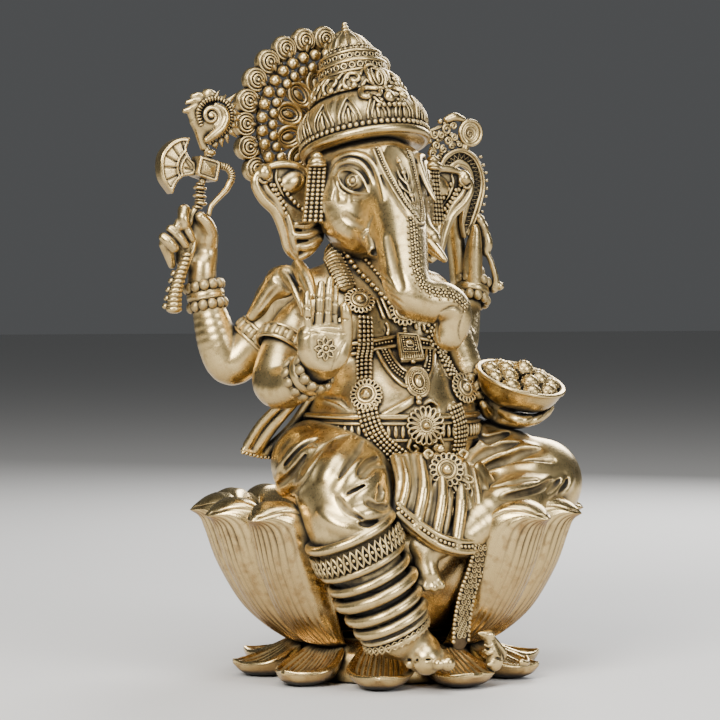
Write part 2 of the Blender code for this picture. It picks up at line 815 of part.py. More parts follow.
def build_belt():
    """Ribbed belt round the waist, shaped to the body."""
    heights = (96.5, 101.0, 105.5)
    bulges = (1.4, 2.3, 1.4)
    outer = [belt_ring(height, SOFT_GAP + bulge) for height, bulge in zip(heights, bulges)]
    inner = [belt_ring(height, SOFT_GAP) for height in heights[::2]]
    shape = bmesh.new()
    loops = [[shape.verts.new(point) for point in ring] for ring in (*outer, *reversed(inner))]
    for first, second in zip(loops, (*loops[1:], loops[0])):
        bridge(shape, first, second)
    return make("waist_belt", shape, (-3, -6, 101), 1.05)


def belt_ring(height, offset):
    low = max(ring for ring in TORSO_RINGS if ring[0] <= height)
    high = min(ring for ring in TORSO_RINGS if ring[0] > height)
    share = (height - low[0]) / (high[0] - low[0])
    x, y, half_width, half_depth = [a + (b - a) * share for a, b in zip(low[1:], high[1:])]
    centre = Vector((x, y, height))
    return ring_points(centre, Vector((1, 0, 0)), Vector((0, 1, 0)), half_width + offset, half_depth + offset,
                       TORSO_SIDES)


def build_garland(torso, *neighbours):
    """Multi-strand bead necklace lying on the chest and belly, with a pendant at the bottom."""
    route = (
        ((-20, -2, 163), 3.2), ((-28, -12, 154), 3.2), ((-31, -24, 140), 3.2), ((-28, -34, 122), 3.2),
        ((-21, -42, 106), 5.4), ((-12, -44, 96), 5.8), ((-2, -45, 91), 6.4), ((8, -42, 97), 5.8),
        ((15, -38, 107), 5.4), ((20, -33, 122), 3.2), ((21, -22, 140), 3.2), ((17, -10, 154), 3.2),
        ((10, -2, 163), 3.2),
    )
    surface = BVHTree.FromPolygons(
        [torso.matrix_world @ vert.co / MM for vert in torso.data.vertices],
        [list(face.vertices) for face in torso.data.polygons],
    )
    stations = []
    for point, clearance in route:
        spot, normal, _, _ = surface.find_nearest(Vector(point))
        stations.append((*(spot + normal * clearance), 2.5))
    path = smooth_path([Vector(station[:3]) for station in stations], 3)
    beaded = []
    for i, point in enumerate(path):
        beaded.append((*point, 2.1 if i % 2 else 2.6))
    garland = make("garland_mala", limb(beaded, 6, caps=1), (-3, -45, 120), 1.05)
    carve(garland, *neighbours)
    return garland


# ---- attributes ----
def build_axe():
    """Crescent axe with a boss, on a shaft of stacked discs that ends in a goad hook."""
    centre = Vector((-68, 26, 206))
    outline = [(-4.5, 5.5)]
    for i in range(9):
        angle = math.radians(128 + 14.5 * i)
        outline.append((-9 + 17.5 * math.cos(angle), 0.5 + 12.5 * math.sin(angle)))
    outline.append((-4.5, -5.5))
    blade = make("axe_blade", plate(outline, 2.6, front_frame(centre)), centre + Vector((-18, 0, 0)), 1.05)
    shaft_foot = Vector((-73.6, 25.2, 184.5))
    shaft_top = Vector((-68, 26, 222))
    shaft = turned(shaft_profile(), frame_along(shaft_foot, shaft_top - shaft_foot), 9)
    handle = make("axe_handle", shaft, shaft_foot)
    boss = bmesh.new()
    bmesh.ops.create_cube(boss, size=1.0)
    bmesh.ops.transform(boss, matrix=Matrix.Translation(centre) @ Matrix.Diagonal((8.4, 8.4, 8.4, 1)), verts=boss.verts)
    hook = limb((
        (-63, 25, 208, 1.9), (-57.5, 24, 205.5, 1.9), (-57, 24, 199, 1.8), (-62, 24, 193, 1.6), (-67, 24, 189, 1.2),
    ), 6, caps=1)
    fuse(handle, boss, hook)
    return blade, handle


def shaft_profile():
    """Stacked bead discs along the shaft, from the grip to its top."""
    height = SHAFT_LENGTH
    discs = 5
    profile = [(0, 0)]
    for i in range(discs):
        low = height * i / discs
        profile.append((1.7, low + 0.3))
        profile.append((2.9, low + 0.5 * height / discs))
    profile.append((1.7, height - 0.2))
    profile.append((0, height))
    return profile


def build_conch(handle):
    """Spiral shell finial over the axe, ridged across its face."""
    centre = Vector((-67.4, 25, 231))
    profile = [(0, -5.2), (5, -4.6), (9.4, -2.2), (10.4, 0), (9.6, 1.8), (8.2, 2.4), (7.4, 4.0), (5.4, 4.4),
               (4.6, 6.0), (2.6, 6.3), (1.6, 7.4), (0, 7.6)]
    shell = make("conch_finial", turned(profile, frame_along(centre, (0, -1, 0.1)), 16), centre, 1.05)
    fuse(shell, ball(centre + Vector((-7, 1, 8)), (3.4, 3.0, 3.4), 8, 5))
    carve(shell, handle)
    return shell


def build_noose(arm):
    """Noose held in the upper left hand: a flat S scroll with a curled head."""
    stations = (
        (51.5, 23, 184, 3.6), (54.5, 23, 193, 4.4), (57.5, 23, 201, 4.8), (55.5, 23, 210.5, 5.0), (48.5, 23, 214, 4.8),
        (42.5, 23, 210, 4.2), (42.5, 23, 203.5, 3.4), (47, 23, 201, 2.4),
    )
    noose = make("noose", limb(stations, 8, 2, 0.55, Vector((0, 1, 0))), (50, 23, 200), 1.05)
    disc = turned(((0, -2.2), (4.6, -2.2), (5.2, 0), (4.6, 2.2), (2.6, 3.0), (0, 3.4)),
                  frame_along(Vector((55, 22.5, 221)), (0, -1, 0)), 14)
    lace = ball((45, 23.5, 220.5), (8.5, 2.2, 4.6))
    fuse(noose, disc, lace)
    carve(noose, arm)
    return noose


def build_bowl(arm):
    """Sweets bowl, open on top, tipped a little to the front."""
    lip = BOWL_DEPTH
    rim = BOWL_RADIUS
    profile = (
        (0, 0), (9, 0.2), (14.5, 3.0), (rim - 1, 7.6), (rim, lip), (rim - 1.9, lip), (rim - 3.2, 8.0), (13, 4.8),
        (8, 2.4), (0, 2.2),
    )
    bowl = make("bowl", turned(profile, bowl_frame(), 22), BOWL_CENTRE, 1.0)
    carve(bowl, arm)
    return bowl


def bowl_frame():
    return frame_along(BOWL_CENTRE, (0.0, -0.16, 1.0))


def build_sweets(bowl):
    """Heap of round sweets filling the bowl, cast as one lump."""
    frame = bowl_frame()
    spots = [(0, 0, 13.6)]
    for i in range(4):
        angle = 2 * math.pi * i / 4 + 0.3
        spots.append((6.4 * math.cos(angle), 6.4 * math.sin(angle), 11.6))
    for i in range(7):
        angle = 2 * math.pi * i / 7
        spots.append((12.0 * math.cos(angle), 12.0 * math.sin(angle), 9.6))
    heap = make("laddu_heap", turned(((0, 4), (10, 6), (13.6, 9.6), (9, 12), (0, 13.4)), frame, 12), BOWL_CENTRE)
    for spot in spots:
        fuse(heap, ball(frame @ Vector(spot), (SWEET_RADIUS, SWEET_RADIUS, SWEET_RADIUS), 6, 4))
    carve(heap, bowl)
    return heap


def build_mouse(*neighbours):
    """Little mouse sitting up on the base in front, facing the figure."""
    mouse = make("mouse", ball((24, -60, 14.5), (3.9, 4.2, 6.4), 8, 6), (24, -60, 14))
    head = limb(((23.2, -59.4, 20.6, 2.9), (20.6, -58.2, 21.4, 1.7)), 6, caps=1)
    tail = limb(((26.5, -61.5, 10, 1.3), (30, -61, 9, 1.1), (33, -58, 10.6, 0.9)), 5, caps=1)
    ears = [ball((24.4, -60.2 + 2.6 * sign, 22.6), (0.9, 1.7, 1.7), 6, 4) for sign in (-1, 1)]
    paws = limb(((21.5, -59, 15.5, 1.5), (18.8, -58.2, 16.8, 1.2)), 5, caps=1)
    feet = limb(((22, -60, 9.6, 2.2), (18.6, -59, 9.2, 1.6)), 5, caps=1)
    fuse(mouse, head, tail, *ears, paws, feet)
    carve(mouse, *neighbours)
    return mouse


def main():
    clear_scene()
    hub = build_base_hub()
    base_petals = [build_base_petal(index) for index in range(BASE_PETALS)]
    cup = build_lotus_cup()
    lotus_petals = [build_lotus_petal(index) for index in range(LOTUS_PETALS)]

    torso = build_torso()
    head = build_head()
    trunk = build_trunk(head)
    for side in (-1, 1):
        build_tusk(side, head, trunk)
    band, dome, spire = build_crown()
    ears = [build_ear(side, head) for side in (-1, 1)]
    build_halo(head, band, dome, spire)
    for side in (-1, 1):
        build_tassel(side, head, band, *ears)
    arms = build_arms(torso, head)
    for ear in ears:
        carve(ear, band, *arms[:2])
    upper_right, upper_left, lower_right, lower_left = arms
    build_bangle("bangle_upper_right", (-70.2, 26.2, 154), (-0.18, 0.14, 1), 6.3, upper_right)
    build_bangle("bangle_upper_left", (59.3, 27, 156.5), (0.1, 0.35, 1), 6.0, upper_left)
    build_bangle("bangle_lower_right", (-51.5, -31, 122.5), (0.35, -0.75, 0.5), 6.6, lower_right)
    hidden_bangle = build_bangle("bangle_lower_left", (49.8, -8.0, 111), (0.04, -0.72, -0.7), 7.6, lower_left)

    belt = build_belt()
    legs = build_legs(torso, belt, cup)
    apron = build_apron(torso, belt, *legs)
    build_lace(apron, *legs, *lotus_petals)
    build_sash(torso, belt, *legs, *arms)
    build_garland(torso, belt, apron, *arms, trunk)
    lap_lotus_petals(lotus_petals)
    for petal in lotus_petals:
        carve(petal, *legs)

    blade, handle = build_axe()
    carve(handle, upper_right, clearance=JOINT_GAP)
    carve(blade, handle)
    build_conch(handle)
    build_noose(upper_left)
    bowl = build_bowl(lower_left)
    sweets = build_sweets(bowl)
    carve(hidden_bangle, bowl, sweets)
    build_mouse(*base_petals, *lotus_petals)
    carve(cup, hub)


main()
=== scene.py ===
"""Looks of the brass ganesha idol: sculpted castings, beaded jewellery, lotus petals and patina.

Lengths are millimetres in the CAD frame and become metres when a mesh is made. The figure faces -Y.
Spots, the pairs given to seen, spine and at_depth, are millimetres across and up in the camera's view
plane. They were read off the reference picture, so they hold for this camera and this idol only.
"""
import math

import bmesh
import bpy
import numpy as np
import openvdb
from mathutils import Matrix, Vector


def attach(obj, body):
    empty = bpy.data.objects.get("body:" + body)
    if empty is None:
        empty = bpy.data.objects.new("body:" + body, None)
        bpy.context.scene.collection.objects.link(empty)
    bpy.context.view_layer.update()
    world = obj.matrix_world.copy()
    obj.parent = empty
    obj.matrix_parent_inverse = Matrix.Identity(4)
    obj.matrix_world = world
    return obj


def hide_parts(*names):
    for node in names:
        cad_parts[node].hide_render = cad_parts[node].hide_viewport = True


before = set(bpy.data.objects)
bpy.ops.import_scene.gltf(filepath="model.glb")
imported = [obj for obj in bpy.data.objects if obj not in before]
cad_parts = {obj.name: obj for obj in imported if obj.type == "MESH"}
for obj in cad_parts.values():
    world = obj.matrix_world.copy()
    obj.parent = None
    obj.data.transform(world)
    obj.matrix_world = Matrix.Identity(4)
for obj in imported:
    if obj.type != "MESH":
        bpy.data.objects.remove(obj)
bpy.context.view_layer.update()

MM = 0.001
BODY = "root"
BLOCK = 8                       # voxels along one side of a sculpting block
FAR = 1.0e3
FRONT = np.array((0.0, -1.0, 0.0))
UP = np.array((0.0, 0.0, 1.0))

VIEW_TURN = math.radians(-28)
VIEW_DROP = math.radians(1.2)
VIEW_TARGET = np.array((-10.2, 5.4, 128.0))
VIEW_DISTANCE = 1050.0
HALF_VIEW = math.radians(8.02)
TOWARD = np.array((math.sin(VIEW_TURN) * math.cos(VIEW_DROP), -math.cos(VIEW_TURN) * math.cos(VIEW_DROP),
                   math.sin(VIEW_DROP)))
ACROSS = np.array((math.cos(VIEW_TURN), math.sin(VIEW_TURN), 0.0))
ALOFT = np.cross(TOWARD, ACROSS)
EYE = VIEW_TARGET + TOWARD * VIEW_DISTANCE


# ---- small vector helpers ----
def vec(*numbers):
    return np.array(numbers, dtype=np.float64)


def unit(vector):
    vector = np.asarray(vector, dtype=np.float64)
    return vector / max(np.linalg.norm(vector), 1e-9)


def smooth_path(points, per_span=6, closed=False):
    """Catmull-Rom curve through rows of numbers."""
    points = np.asarray(points, dtype=np.float64)
    if closed:
        padded = np.vstack((points[-1], points, points[0], points[1]))
    else:
        padded = np.vstack((2 * points[0] - points[1], points, 2 * points[-1] - points[-2]))
    steps = np.arange(per_span)[:, None] / per_span
    spans = []
    for a, b, c, d in zip(padded, padded[1:], padded[2:], padded[3:]):
        cubic = 2 * b + (c - a) * steps + (2 * a - 5 * b + 4 * c - d) * steps ** 2
        spans.append((cubic + (3 * b - a - 3 * c + d) * steps ** 3) / 2)
    if not closed:
        spans.append(points[-1][None])
    return np.vstack(spans)


def even_path(points, spacing, closed=False):
    """Points at even spacing along a polyline."""
    points = np.asarray(points, dtype=np.float64)
    if closed:
        points = np.vstack((points, points[0]))
    gaps = np.linalg.norm(np.diff(points[:, :3], axis=0), axis=1)
    along = np.concatenate(((0.0,), np.cumsum(gaps)))
    count = max(int(round(along[-1] / spacing)), 1)
    places = np.linspace(0.0, along[-1], count + 1)
    if closed:
        places = places[:-1]
    return np.column_stack([np.interp(places, along, column) for column in points.T])


def axes_along(normal, up=UP):
    """Columns: right, up and out of a patch that faces along normal."""
    out = unit(normal)
    right = np.cross(up, out)
    if np.linalg.norm(right) < 0.05:
        right = np.cross(vec(0, 1, 0), out)
    right = unit(right)
    return np.column_stack((right, np.cross(out, right), out))


def circle(centre, axes, turns, wide, tall):
    """Points round an ellipse that lies across the first two of the axes."""
    return centre + np.outer(np.cos(turns) * wide, axes[:, 0]) + np.outer(np.sin(turns) * tall, axes[:, 1])


def turn_matrix(x=0.0, y=0.0, z=0.0):
    """Rotation by degrees about X, then Y, then Z."""
    turn = Matrix.Rotation(math.radians(z), 3, "Z") @ Matrix.Rotation(math.radians(y), 3, "Y")
    return np.array(turn @ Matrix.Rotation(math.radians(x), 3, "X"))


def sight(spots):
    """Places and directions of the lines from the eye through (across, up) spots round the view target."""
    spots = np.atleast_2d(np.asarray(spots, dtype=np.float64))
    places = VIEW_TARGET + spots[:, :1] * ACROSS + spots[:, 1:2] * ALOFT
    away = places - EYE
    return places, away / np.linalg.norm(away, axis=1, keepdims=True)


def at_depth(spots, depth):
    """Where the lines through the spots reach the plane y = depth."""
    places, away = sight(spots)
    return places + away * ((depth - places[:, 1]) / away[:, 1])[:, None]


# ---- shapes for sculpting: each has a box and a distance ----
class Egg:
    """An ellipsoid."""

    def __init__(self, centre, radii, turn=None):
        self.centre = np.asarray(centre, dtype=np.float32)
        self.radii = np.broadcast_to(np.asarray(radii, dtype=np.float32), (3,))
        self.turn = np.eye(3, dtype=np.float32) if turn is None else np.asarray(turn, dtype=np.float32)
        self.reach = float(self.radii.max())

    def near(self, centres, margin):
        return np.linalg.norm(centres - self.centre, axis=1) < self.reach + margin

    def distance(self, points, margin):
        local = (points - self.centre) @ self.turn
        scaled = local / self.radii
        first = np.linalg.norm(scaled, axis=-1)
        second = np.linalg.norm(scaled / self.radii, axis=-1)
        return first * (first - 1.0) / np.maximum(second, 1e-6)


class Limb:
    """A smooth tube through (x, y, z, radius) stations, flattened along one axis if asked."""

    def __init__(self, stations, per_span=4, closed=False, flat=1.0, flat_axis=None):
        path = smooth_path(stations, per_span, closed)
        if closed:
            path = np.vstack((path, path[0]))
        self.squeeze = np.eye(3)
        self.flat = flat
        if flat_axis is not None:
            axis = unit(flat_axis)
            self.squeeze = np.eye(3) + np.outer(axis, axis) * (1.0 / flat - 1.0)
        self.world = path[:, :3]
        self.path = (path[:, :3] @ self.squeeze).astype(np.float32)
        self.squeeze = self.squeeze.astype(np.float32)
        self.radii = path[:, 3].astype(np.float32)
        self.lo = (self.world - self.radii[:, None]).min(axis=0)
        self.hi = (self.world + self.radii[:, None]).max(axis=0)

    def near(self, centres, margin):
        return np.all((centres > self.lo - margin) & (centres < self.hi + margin), axis=1)

    def distance(self, points, margin):
        """Distance over blocks of points; far segments are skipped block by block."""
        stretched = points @ self.squeeze
        middles = stretched.reshape(len(points), -1, 3)[:, ::7].mean(axis=1)
        result = np.full(points.shape[:-1], FAR, dtype=np.float32)
        reach = margin / min(self.flat, 1.0)
        for i in range(len(self.path) - 1):
            start, end = self.path[i], self.path[i + 1]
            gap = segment_distance(middles, start, end, self.radii[i], self.radii[i + 1])
            picked = gap < reach
            if picked.any():
                here = segment_distance(stretched[picked], start, end, self.radii[i], self.radii[i + 1])
                result[picked] = np.minimum(result[picked], here)
        return result * min(self.flat, 1.0)


def drawn(path, radius, taper=0.3, closed=False):
    """A limb along finished points, thinner at its ends."""
    share = np.linspace(0.0, 1.0, len(path))
    radii = radius * (1.0 if closed else taper + (1.0 - taper) * np.sin(np.pi * share) ** 0.5)
    radii = np.broadcast_to(radii, (len(path),))
    return Limb(np.column_stack((path, radii)), 1, closed)


def segment_distance(points, start, end, first_radius, last_radius):
    along = end - start
    share = (points - start) @ along / max(float(along @ along), 1e-9)
    share = np.clip(share, 0.0, 1.0)
    gap = points - start - share[..., None] * along
    radius = first_radius + share * (last_radius - first_radius)
    return np.sqrt(np.einsum("...i,...i->...", gap, gap)) - radius


class Slab:
    """A rounded plate cut to a closed outline; frame columns are right, up, out."""

    def __init__(self, outline, centre, axes, thickness, edge=0.6, bend=None, per_span=4):
        self.outline = smooth_path(outline, per_span, closed=True).astype(np.float32)
        self.centre = np.asarray(centre, dtype=np.float32)
        self.axes = np.asarray(axes, dtype=np.float32)
        self.half = thickness / 2
        self.edge = edge
        self.bend = bend
        self.reach = float(np.linalg.norm(self.outline, axis=1).max()) + thickness

    def near(self, centres, margin):
        return np.linalg.norm(centres - self.centre, axis=1) < self.reach + margin + 4.0

    def distance(self, points, margin):
        local = (points - self.centre) @ self.axes
        depth = local[..., 2]
        if self.bend is not None:
            depth = depth - self.bend(local[..., 0], local[..., 1])
        flat = outline_distance(local[..., :2], self.outline)
        sides = np.stack((flat + self.edge, np.abs(depth) - self.half + self.edge), axis=-1)
        outside = np.linalg.norm(np.maximum(sides, 0.0), axis=-1)
        return outside + np.minimum(sides.max(axis=-1), 0.0) - self.edge


def outline_distance(points, outline):
    """Signed distance in the plane to a closed outline, negative inside."""
    best = np.full(points.shape[:-1], FAR, dtype=np.float32)
    crossings = np.zeros(points.shape[:-1], dtype=bool)
    for a, b in zip(outline, np.roll(outline, -1, axis=0)):
        along = b - a
        share = np.clip((points - a) @ along / max(float(along @ along), 1e-9), 0.0, 1.0)
        gap = points - a - share[..., None] * along
        best = np.minimum(best, np.einsum("...i,...i->...", gap, gap))
        straddles = (a[1] > points[..., 1]) != (b[1] > points[..., 1])
        if a[1] != b[1]:
            edge_x = a[0] + (points[..., 1] - a[1]) * (along[0] / along[1])
            crossings ^= straddles & (points[..., 0] < edge_x)
    return np.sqrt(best) * np.where(crossings, -1.0, 1.0)


class Clay:
    """A solid built from shapes that are added, cut and raised, then polygonised."""

    def __init__(self):
        self.steps = []
        self.frozen = None

    def freeze(self):
        """Later casts meet the form as it is now, without the detail still to come."""
        self.frozen = len(self.steps)
        return self

    def add(self, shape, blend=0.0):
        self.steps.append(("add", shape, blend))
        return self

    def cut(self, shape, blend=0.0):
        self.steps.append(("cut", shape, blend))
        return self

    def apply(self, step, field, points, margin):
        kind, shape, blend = step
        gap = shape.distance(points, margin + blend).astype(np.float32)
        if kind == "add":
            return smooth_min(field, gap, blend)
        return -smooth_min(-field, gap, blend)

    def at(self, points):
        """The field at loose points."""
        points = np.atleast_2d(np.asarray(points, dtype=np.float32))[:, None]
        field = np.full(points.shape[:-1], FAR, dtype=np.float32)
        for step in self.steps[:self.frozen]:
            picked = step[1].near(points[:, 0], 30.0)
            if picked.any():
                field[picked] = self.apply(step, field[picked], points[picked], 30.0)
        return field[:, 0]

    def normal(self, points):
        points = np.atleast_2d(np.asarray(points, dtype=np.float64))
        slope = np.zeros_like(points)
        for axis in range(3):
            nudge = np.zeros(3)
            nudge[axis] = 0.35
            slope[:, axis] = self.at(points + nudge) - self.at(points - nudge)
        return slope / np.maximum(np.linalg.norm(slope, axis=1, keepdims=True), 1e-6)

    def snap(self, points, lift=0.0):
        """The nearest places on the surface, then lifted along the normal."""
        points = np.array(np.atleast_2d(points), dtype=np.float64)
        for _ in range(5):
            points = points - self.normal(points) * self.at(points)[:, None] * 0.9
        return points + self.normal(points) * lift

    def cast(self, starts, direction, lift=0.0):
        """Where rays from the starts first meet the surface."""
        points = np.array(np.atleast_2d(starts), dtype=np.float64)
        direction = np.asarray(direction, dtype=np.float64)
        for _ in range(26):
            points = points + direction * np.clip(self.at(points), -8.0, 25.0)[:, None] * 0.85
        return points + self.normal(points) * lift

    def seen(self, spots, lift=0.0):
        """Surface points under (across, up) spots of the three-quarter view."""
        places, away = sight(spots)
        return self.cast(places - away * 110.0, away, lift)

    def stroke(self, spots, radius, lift=0.0, taper=0.3, spacing=1.2):
        """A thin limb along the surface under the spots, thinner at its ends."""
        path = self.seen(even_path(smooth_path(spots, 8), spacing), lift)
        return drawn(path, radius, taper)

    def ridge(self, spots, radius, blend=1.0, lift=0.0, taper=0.3):
        return self.add(self.stroke(spots, radius, lift, taper), blend)

    def groove(self, spots, radius, blend=0.8, lift=0.0, taper=0.2):
        return self.cut(self.stroke(spots, radius, lift, taper), blend)

    def front(self, spots, lift=0.0, start=-120.0):
        """Surface points under (x, z) spots of the front view."""
        spots = np.atleast_2d(np.asarray(spots, dtype=np.float64))
        starts = np.column_stack((spots[:, 0], np.full(len(spots), start), spots[:, 1]))
        return self.cast(starts, (0, 1, 0), lift)

    def mesh(self, name, material, voxel, replaces=()):
        points, quads = self.polygons(voxel)
        return make_piece(name, points, quads, material, replaces)

    def polygons(self, voxel):
        size = voxel * BLOCK
        boxes = [(step[1].lo, step[1].hi) if hasattr(step[1], "lo") else
                 (step[1].centre - step[1].reach, step[1].centre + step[1].reach)
                 for step in self.steps if step[0] == "add"]
        low = np.floor((np.min([box[0] for box in boxes], axis=0) - 2.0) / size).astype(int)
        high = np.ceil((np.max([box[1] for box in boxes], axis=0) + 2.0) / size).astype(int)
        grid = np.stack(np.meshgrid(*[np.arange(a, b) for a, b in zip(low, high)], indexing="ij"), axis=-1)
        blocks = grid.reshape(-1, 3)
        centres = ((blocks + 0.5) * size - voxel / 2).astype(np.float32)
        radius = 0.87 * size
        coarse = np.full((len(blocks), 1), FAR, dtype=np.float32)
        for step in self.steps:
            picked = step[1].near(centres, radius + step[2] + 8.0)
            if picked.any():
                coarse[picked] = self.apply(step, coarse[picked], centres[picked][:, None], radius + 8.0)
        coarse = coarse[:, 0]
        slack = radius * 1.15 + 0.8
        kept = np.abs(coarse) < slack
        volume = openvdb.FloatGrid(3.0 * voxel)
        solid = np.full((BLOCK,) * 3, -3.0 * voxel, dtype=np.float32)
        for index in blocks[coarse <= -slack]:
            volume.copyFromArray(solid, ijk=tuple(int(n) * BLOCK for n in index))
        inner = np.stack(np.meshgrid(*[np.arange(BLOCK)] * 3, indexing="ij"), axis=-1).reshape(-1, 3)
        for chunk in np.array_split(blocks[kept], max(1, int(kept.sum()) // 1500)):
            self.fill_blocks(volume, chunk, inner, voxel, radius)
        points, _, quads = volume.convertToPolygons(0.0, 0.0)
        return points * voxel, quads

    def fill_blocks(self, volume, chunk, inner, voxel, radius):
        points = ((chunk[:, None] * BLOCK + inner[None]) * voxel).astype(np.float32)
        centres = points.mean(axis=1)
        field = np.full(points.shape[:-1], FAR, dtype=np.float32)
        for step in self.steps:
            margin = radius + step[2] + 2.0 * voxel
            picked = step[1].near(centres, margin)
            if picked.any():
                field[picked] = self.apply(step, field[picked], points[picked], margin)
        limit = 3.0 * voxel
        field = np.clip(field, -limit, limit).reshape(-1, BLOCK, BLOCK, BLOCK)
        for index, values in zip(chunk, field):
            volume.copyFromArray(np.ascontiguousarray(values), ijk=tuple(int(n) * BLOCK for n in index))


def smooth_min(first, second, blend):
    if blend <= 0:
        return np.minimum(first, second)
    overlap = np.maximum(blend - np.abs(first - second), 0.0) / blend
    return np.minimum(first, second) - overlap * overlap * blend * 0.25


# ---- meshes ----
def make_piece(name, points, faces, material, replaces=()):
    """A Blender object from millimetre points; it rides on the idol and may stand for CAD nodes."""
    mesh = bpy.data.meshes.new(name)
    mesh.from_pydata([], [], [])
    points = np.asarray(points, dtype=np.float32) * MM
    faces = face_outwards(points, np.asarray(faces, dtype=np.int32))
    mesh.vertices.add(len(points))
    mesh.vertices.foreach_set("co", points.ravel())
    corners = faces.shape[1]
    mesh.loops.add(faces.size)
    mesh.loops.foreach_set("vertex_index", faces.ravel())
    mesh.polygons.add(len(faces))
    mesh.polygons.foreach_set("loop_start", np.arange(0, faces.size, corners, dtype=np.int32))
    mesh.update(calc_edges=True)
    mesh.validate()
    mesh.shade_smooth()
    mesh.materials.append(material)
    piece = bpy.data.objects.new(name, mesh)
    bpy.context.collection.objects.link(piece)
    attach(piece, BODY)
    if replaces:
        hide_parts(*replaces)
    return piece


def face_outwards(points, faces):
    """Turn the faces round if they enclose a negative volume."""
    corners = points[faces[:, :3]].astype(np.float64)
    volume = np.einsum("ij,ij->", corners[:, 0], np.cross(corners[:, 1], corners[:, 2]))
    corners = points[faces[:, [0, 2, -1]]].astype(np.float64)
    volume += np.einsum("ij,ij->", corners[:, 0], np.cross(corners[:, 1], corners[:, 2]))
    return faces if volume > 0 else np.ascontiguousarray(faces[:, ::-1])


def sphere_template(segments, rings):
    """Unit sphere as quads, its pole rings set just off the poles and left open."""
    polar = np.pi * np.arange(rings + 1) / rings
    polar[0] += 0.02
    polar[-1] -= 0.02
    around = 2 * np.pi * np.arange(segments) / segments
    height, turn = np.meshgrid(polar, around, indexing="ij")
    points = np.stack((np.sin(height) * np.cos(turn), np.sin(height) * np.sin(turn), np.cos(height)),
                      axis=-1)
    quads = []
    for i in range(rings):
        for j in range(segments):
            k = (j + 1) % segments
            quads.append((i * segments + j, (i + 1) * segments + j, (i + 1) * segments + k,
                          i * segments + k))
    return points.reshape(-1, 3), np.array(quads)


class Pile:
    """Many small castings, such as beads and wires, gathered into one mesh."""

    def __init__(self):
        self.points = []
        self.faces = []
        self.count = 0

    def put(self, points, faces):
        self.points.append(points)
        self.faces.append(faces + self.count)
        self.count += len(points)

    def egg(self, centre, radii, axes=None, segments=10, rings=7):
        points, faces = sphere_template(segments, rings)
        points = points * np.broadcast_to(radii, (3,))
        if axes is not None:
            points = points @ np.asarray(axes).T
        self.put(points + centre, faces)

    def beads(self, centres, radius, segments=10, rings=6):
        radii = np.broadcast_to(radius, (len(centres),))
        for centre, size in zip(centres, radii):
            self.egg(centre, size, None, segments, rings)

    def tube(self, path, radius, sides=8, closed=False, flat=1.0, normal=None):
        """A swept wire; flat squashes it along the given normal."""
        path = np.asarray(path, dtype=np.float64)
        radii = np.broadcast_to(radius, (len(path),)).astype(np.float64)
        count = len(path)
        if closed:
            tangents = np.roll(path, -1, axis=0) - np.roll(path, 1, axis=0)
        else:
            tangents = np.gradient(path, axis=0)
        tangents /= np.maximum(np.linalg.norm(tangents, axis=1, keepdims=True), 1e-9)
        side = np.cross(tangents[0], UP if normal is None else np.atleast_2d(normal)[0])
        if np.linalg.norm(side) < 1e-3:
            side = vec(1, 0, 0)
        turns = 2 * np.pi * np.arange(sides) / sides
        rings = []
        for i in range(count):
            if normal is not None:
                out = np.atleast_2d(normal)[min(i, len(np.atleast_2d(normal)) - 1)]
                side = np.cross(tangents[i], out)
            side = unit(side - tangents[i] * (side @ tangents[i]))
            out = np.cross(side, tangents[i])
            ring = np.outer(np.cos(turns), side) + np.outer(np.sin(turns) * flat, out)
            rings.append(path[i] + ring * radii[i])
        points = np.vstack(rings)
        faces = []
        for i in range(count if closed else count - 1):
            j = (i + 1) % count
            for k in range(sides):
                m = (k + 1) % sides
                faces.append((i * sides + k, j * sides + k, j * sides + m, i * sides + m))
        if not closed:
            points, faces = self.close_ends(points, faces, path, tangents, radii, sides, count)
        self.put(points, np.array(faces))

    def close_ends(self, points, faces, path, tangents, radii, sides, count):
        """Round both ends with one inset ring and a small cap."""
        base = len(points)
        extra = []
        for end, sign in ((0, -1.0), (count - 1, 1.0)):
            ring = points[end * sides:(end + 1) * sides]
            extra.append(path[end] + (ring - path[end]) * 0.45 + tangents[end] * sign * radii[end] * 0.6)
        for end, ring_start in ((0, base), (count - 1, base + sides)):
            for k in range(sides):
                m = (k + 1) % sides
                outer = (end * sides + k, end * sides + m)
                inner = (ring_start + k, ring_start + m)
                quad = (outer[0], outer[1], inner[1], inner[0])
                faces.append(quad if end == 0 else quad[::-1])
            half = sides // 2
            for k in range(1, half):
                quad = (ring_start + k - 1, ring_start + k, ring_start + sides - k - 1,
                        ring_start + sides - k)
                if len(set(quad)) == 4:
                    faces.append(quad if end == 0 else quad[::-1])
        return np.vstack((points, *extra)), faces

    def ring(self, centre, normal, radius, wire, sides=8, count=28, flat=1.0):
        axes = axes_along(normal)
        turns = 2 * np.pi * np.arange(count) / count
        path = circle(centre, axes, turns, radius, radius)
        self.tube(path, wire, sides, closed=True, flat=flat, normal=axes[:, 2])

    def done(self, name, material, replaces=()):
        return make_piece(name, np.vstack(self.points), np.vstack(self.faces), material, replaces)


